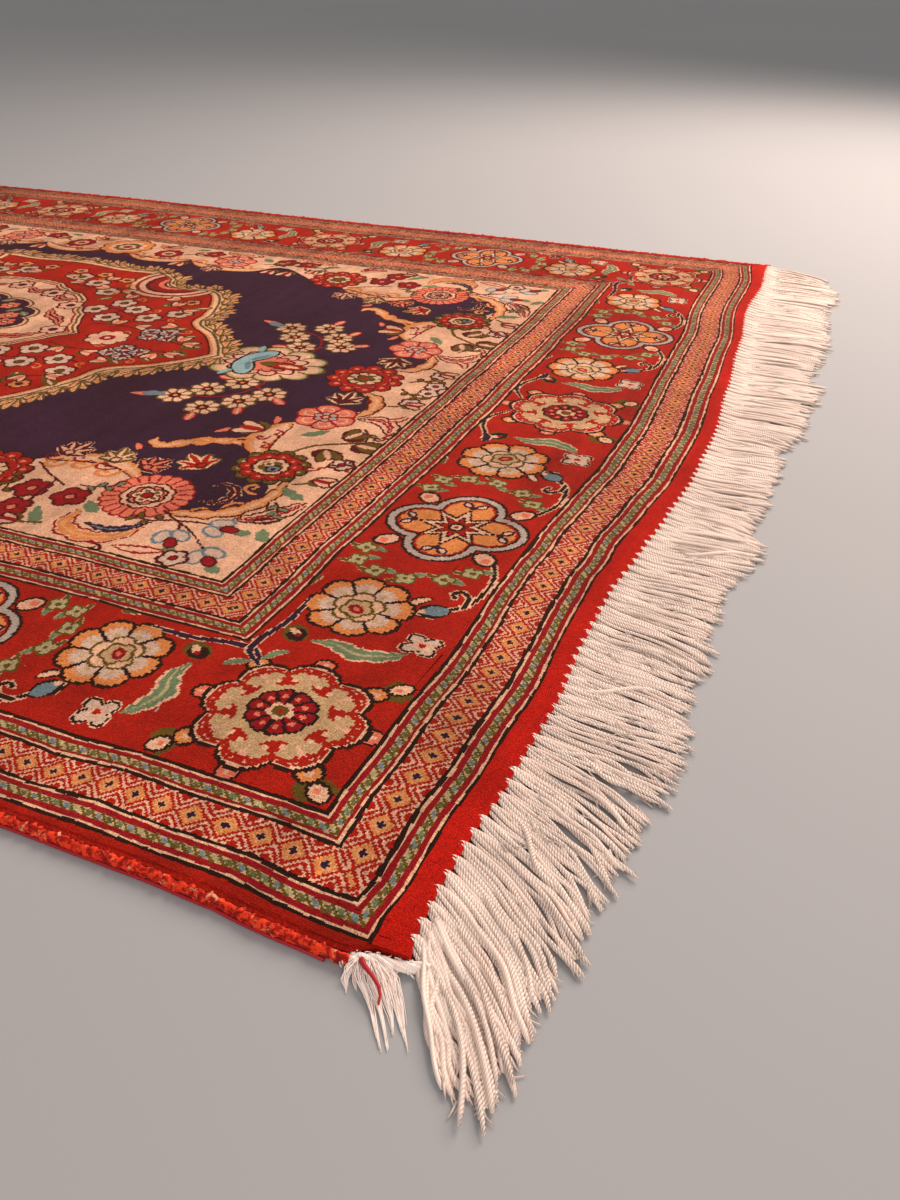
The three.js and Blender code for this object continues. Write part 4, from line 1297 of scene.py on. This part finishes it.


# Twisted silk: ivory cords with a soft lustre along them, darker with painted shade between the plies, and
# darker where dust lies.
silk, tree, shader = new_material("twisted_ivory_silk", Roughness=0.5, Specular_IOR_Level=0.4,
                                  Sheen_Weight=0.3, Sheen_Tint=linear("#FFF0E2"), Subsurface_Weight=0.12,
                                  Subsurface_Radius=(1.0, 0.8, 0.7), Subsurface_Scale=0.6 * MM)
turns = add_node(tree, "UVMap", {"uv_map": "twist"})
phase = add_node(tree, "VectorMath", {"operation": "DOT_PRODUCT"}, i0=turns.outputs["UV"],
                 i1=(PLY_COUNT * np.pi, np.pi / PLY_PITCH, 0))
wave = add_node(tree, "Math", {"operation": "SINE"}, i0=phase.outputs["Value"])
ply = add_node(tree, "Math", {"operation": "ABSOLUTE"}, i0=wave.outputs["Value"])
one_cord = add_node(tree, "VectorMath", {"operation": "SNAP"}, i0=turns.outputs["UV"], i1=(2.0, CORD_SPAN, 1))
cord_luck = add_node(tree, "TexWhiteNoise", {"noise_dimensions": "2D"}, Vector=one_cord.outputs["Vector"])
place = add_node(tree, "TexCoord")
dust = add_node(tree, "TexNoise", Vector=place.outputs["Object"], Scale=1 / (22 * MM), Detail=3.0)
# Painted shade: the colour darkens in the grooves between the plies, more on some cords than on others.
depth = add_node(tree, "MapRange", Value=ply.outputs["Value"], From_Max=0.75,
                 To_Min=cord_luck.outputs["Color"])
tone = add_node(tree, "MixRGB", Fac=depth.outputs["Result"], Color1=linear("#DCAF97"),
                Color2=linear("#FFECE0"))
own_tone = add_node(tree, "MapRange", Value=cord_luck.outputs["Value"], To_Min=0.9, To_Max=1.06)
dusty = add_node(tree, "MapRange", Value=dust.outputs["Fac"], From_Min=0.3, From_Max=0.7, To_Min=0.9,
                 To_Max=1.05)
level = add_node(tree, "Math", {"operation": "MULTIPLY"}, i0=own_tone.outputs["Result"],
                 i1=dusty.outputs["Result"])
shaded = add_node(tree, "VectorMath", {"operation": "SCALE"}, i0=tone.outputs["Color"],
                  Scale=level.outputs["Value"])
tree.links.new(shaded.outputs["Vector"], shader.inputs["Base Color"])
relief = add_node(tree, "Bump", Strength=0.8, Distance=0.6 * MM, Height=ply.outputs["Value"])
tree.links.new(relief.outputs["Normal"], shader.inputs["Normal"])

fringes = []
for end, seed in (("right", 21), ("left", 34)):
    luck = np.random.default_rng(seed)
    paths = fringe_paths(luck)
    from_root = np.arange(paths.shape[1])
    width = np.interp(from_root, (0, 1, 2, from_root[-2], from_root[-1]), (0.7, 0.95, 1, 0.9, 0.45))[None]
    width = CORD_THICKNESS * width
    bundle = joined(cords(paths, width * luck.uniform(0.75, 1.15, (len(paths), 1)), 4),
                    cords(strays(paths, luck, *STRAY_CORDS), CORD_THICKNESS * 0.9),
                    cords(strays(paths, luck, *STRAY_HAIRS), HAIR_THICKNESS, 4))
    frayed = cords(frays(paths, luck), FRAY_THICKNESS * np.array([[1, 0.8, 0.3]]), 4)
    if end == "left":
        bundle, frayed = turned_half(bundle), turned_half(frayed)
    fringes.append(cord_piece(f"fringe_{end}_cords", bundle, silk, "fringe", f"fringe_{end}"))
    fringes.append(cord_piece(f"fringe_{end}_frayed_tips", frayed, silk, "fringe"))

# Loose tuft at the near right corner: where the overcasting has worn away, the silk core of the
# selvedge lies bare under the last knots and frays into soft locks, with one red thread among them.
CORE_PLACES = [(685, -501), (690, -498.9), (696, -497.3), (702, -496.6), (708, -495.4), (714, -492.5)]
CORE_STRANDS, CORE_THICKNESS = 14, 1.6
FRIZZ_COUNT, FRIZZ_THICKNESS = 220, 0.45
# Each lock as the places that it passes on its way down to the floor.
LOCK_PLACES = [
    [(690, -500), (692.5, -506), (698, -511), (702.5, -517), (707, -523), (710.3, -527.3)],
    [(692, -499.5), (696, -505.5), (701.5, -511), (706, -517), (710, -523), (712.5, -526.5)],
    [(693.5, -499), (699, -503.5), (704, -509.5), (708, -514.5), (710, -518), (711.5, -521)],
    [(695, -498.5), (701, -501.5), (705.5, -507), (709.5, -512.5), (713, -517), (716, -520.5)],
    [(695.8, -498.3), (702, -501), (706.5, -506), (710.5, -511.5), (714.5, -518), (718.5, -524.5)],
    [(688, -501), (687, -504), (687, -507), (688, -509), (689, -510.5), (690, -512)],
    [(689, -501), (689.5, -503.5), (690, -505.5), (691, -507.5), (692, -509), (693, -510)],
]
LOCK_FIBRES, FIBRE_THICKNESS = 19, 0.42
FIBRE_SPREAD, FIBRE_HEIGHT = (0.7, 1.0, 0.75, 0.4, 0.25, 0.2), (4.0, 3.4, 2.0, 1.0, 0.6, 0.5)
THREAD_PLACES = [(690, -500.5, 4.2), (693, -503.2, 4.9), (696.8, -505.4, 4.9), (700.6, -508.1, 4.4),
                 (702.2, -510.8, 3.6), (702.8, -513.4, 2.6)]
luck = np.random.default_rng(5)
smooth = np.linspace(0, 1, 24)
places_at = np.linspace(0, 1, len(CORE_PLACES))
core = np.stack([np.interp(smooth, places_at, axis) for axis in zip(*CORE_PLACES)], -1)
spin = smooth * 7 + luck.uniform(0, 2 * np.pi, (CORE_STRANDS, 1))
throw = luck.uniform(0.5, 1.7, (CORE_STRANDS, 1))
core = np.stack([core[:, 0] + 0.5 * throw * np.sin(spin * 1.3), core[:, 1] + throw * np.cos(spin),
                 2.4 + throw * np.sin(spin) + 0 * spin], -1)
frizz_size = (FRIZZ_COUNT, 1)
frizz_root = core[luck.integers(0, CORE_STRANDS, FRIZZ_COUNT), luck.integers(0, len(smooth), FRIZZ_COUNT)]
frizz_way = luck.uniform(0, 2 * np.pi, frizz_size) + np.linspace(0, 1, 5) * luck.normal(0, 1.6, frizz_size)
frizz_step = luck.uniform(0.3, 0.9, frizz_size)
frizz_height = frizz_root[:, 2:] + luck.uniform(0, 1.2, frizz_size) + np.linspace(0.4, -1.2, 5)
frizz = np.stack([frizz_root[:, :1] + np.cumsum(np.cos(frizz_way) * frizz_step, 1),
                  frizz_root[:, 1:2] + np.cumsum(np.sin(frizz_way) * frizz_step, 1),
                  np.clip(frizz_height, 0.5, 4.9)], -1)
share = np.linspace(0, 1, 11)
size = (LOCK_FIBRES, 1)
hair = []
for places in LOCK_PLACES:
    short = share * luck.uniform(0.72, 1.0, size)
    spread = np.interp(short, places_at, FIBRE_SPREAD)
    swirl = 0.5 * np.sin(7 * short + luck.uniform(0, 6, size))
    x, y = (np.interp(short, places_at, axis) + (luck.normal(0, 1, size) + swirl) * spread
            for axis in zip(*places))
    z = np.interp(short, places_at, FIBRE_HEIGHT) * luck.uniform(0.55, 1.1, size)
    hair.append(np.stack([x, y, z], -1))
hair = np.concatenate(hair)
# Silk floss: untwisted fibres, whiter and softer than the cords, in streaks of 4 mm.
floss, tree, shader = new_material("frayed_silk_floss", Roughness=0.6, Specular_IOR_Level=0.3,
                                   Sheen_Weight=0.4, Sheen_Tint=linear("#FFF4EA"))
place = add_node(tree, "TexCoord")
streak = add_node(tree, "TexNoise", Vector=place.outputs["Object"], Scale=1 / (4 * MM), Detail=3.0)
tone = add_node(tree, "MixRGB", Fac=streak.outputs["Fac"], Color1=linear("#F2D9CA"), Color2=linear("#FFFAF7"))
tree.links.new(tone.outputs["Color"], shader.inputs["Base Color"])
loose_fibres = joined(cords(core, CORE_THICKNESS, 6), cords(frizz, FRIZZ_THICKNESS, 4),
                      cords(hair, FIBRE_THICKNESS * (1 - 0.6 * share[None]), 4))
tuft = cord_piece("selvedge_loose_tuft", loose_fibres, floss, "fringe", "selvedge_tuft")
thread = np.stack([np.interp(share, places_at, axis) for axis in zip(*THREAD_PLACES)], -1)[None]
thread = cords(thread, 2.2 - 1.5 * share[None], 6)
red_thread = cord_piece("selvedge_loose_thread", thread, crimson_thread, "selvedge")
fringes += [tuft, red_thread]
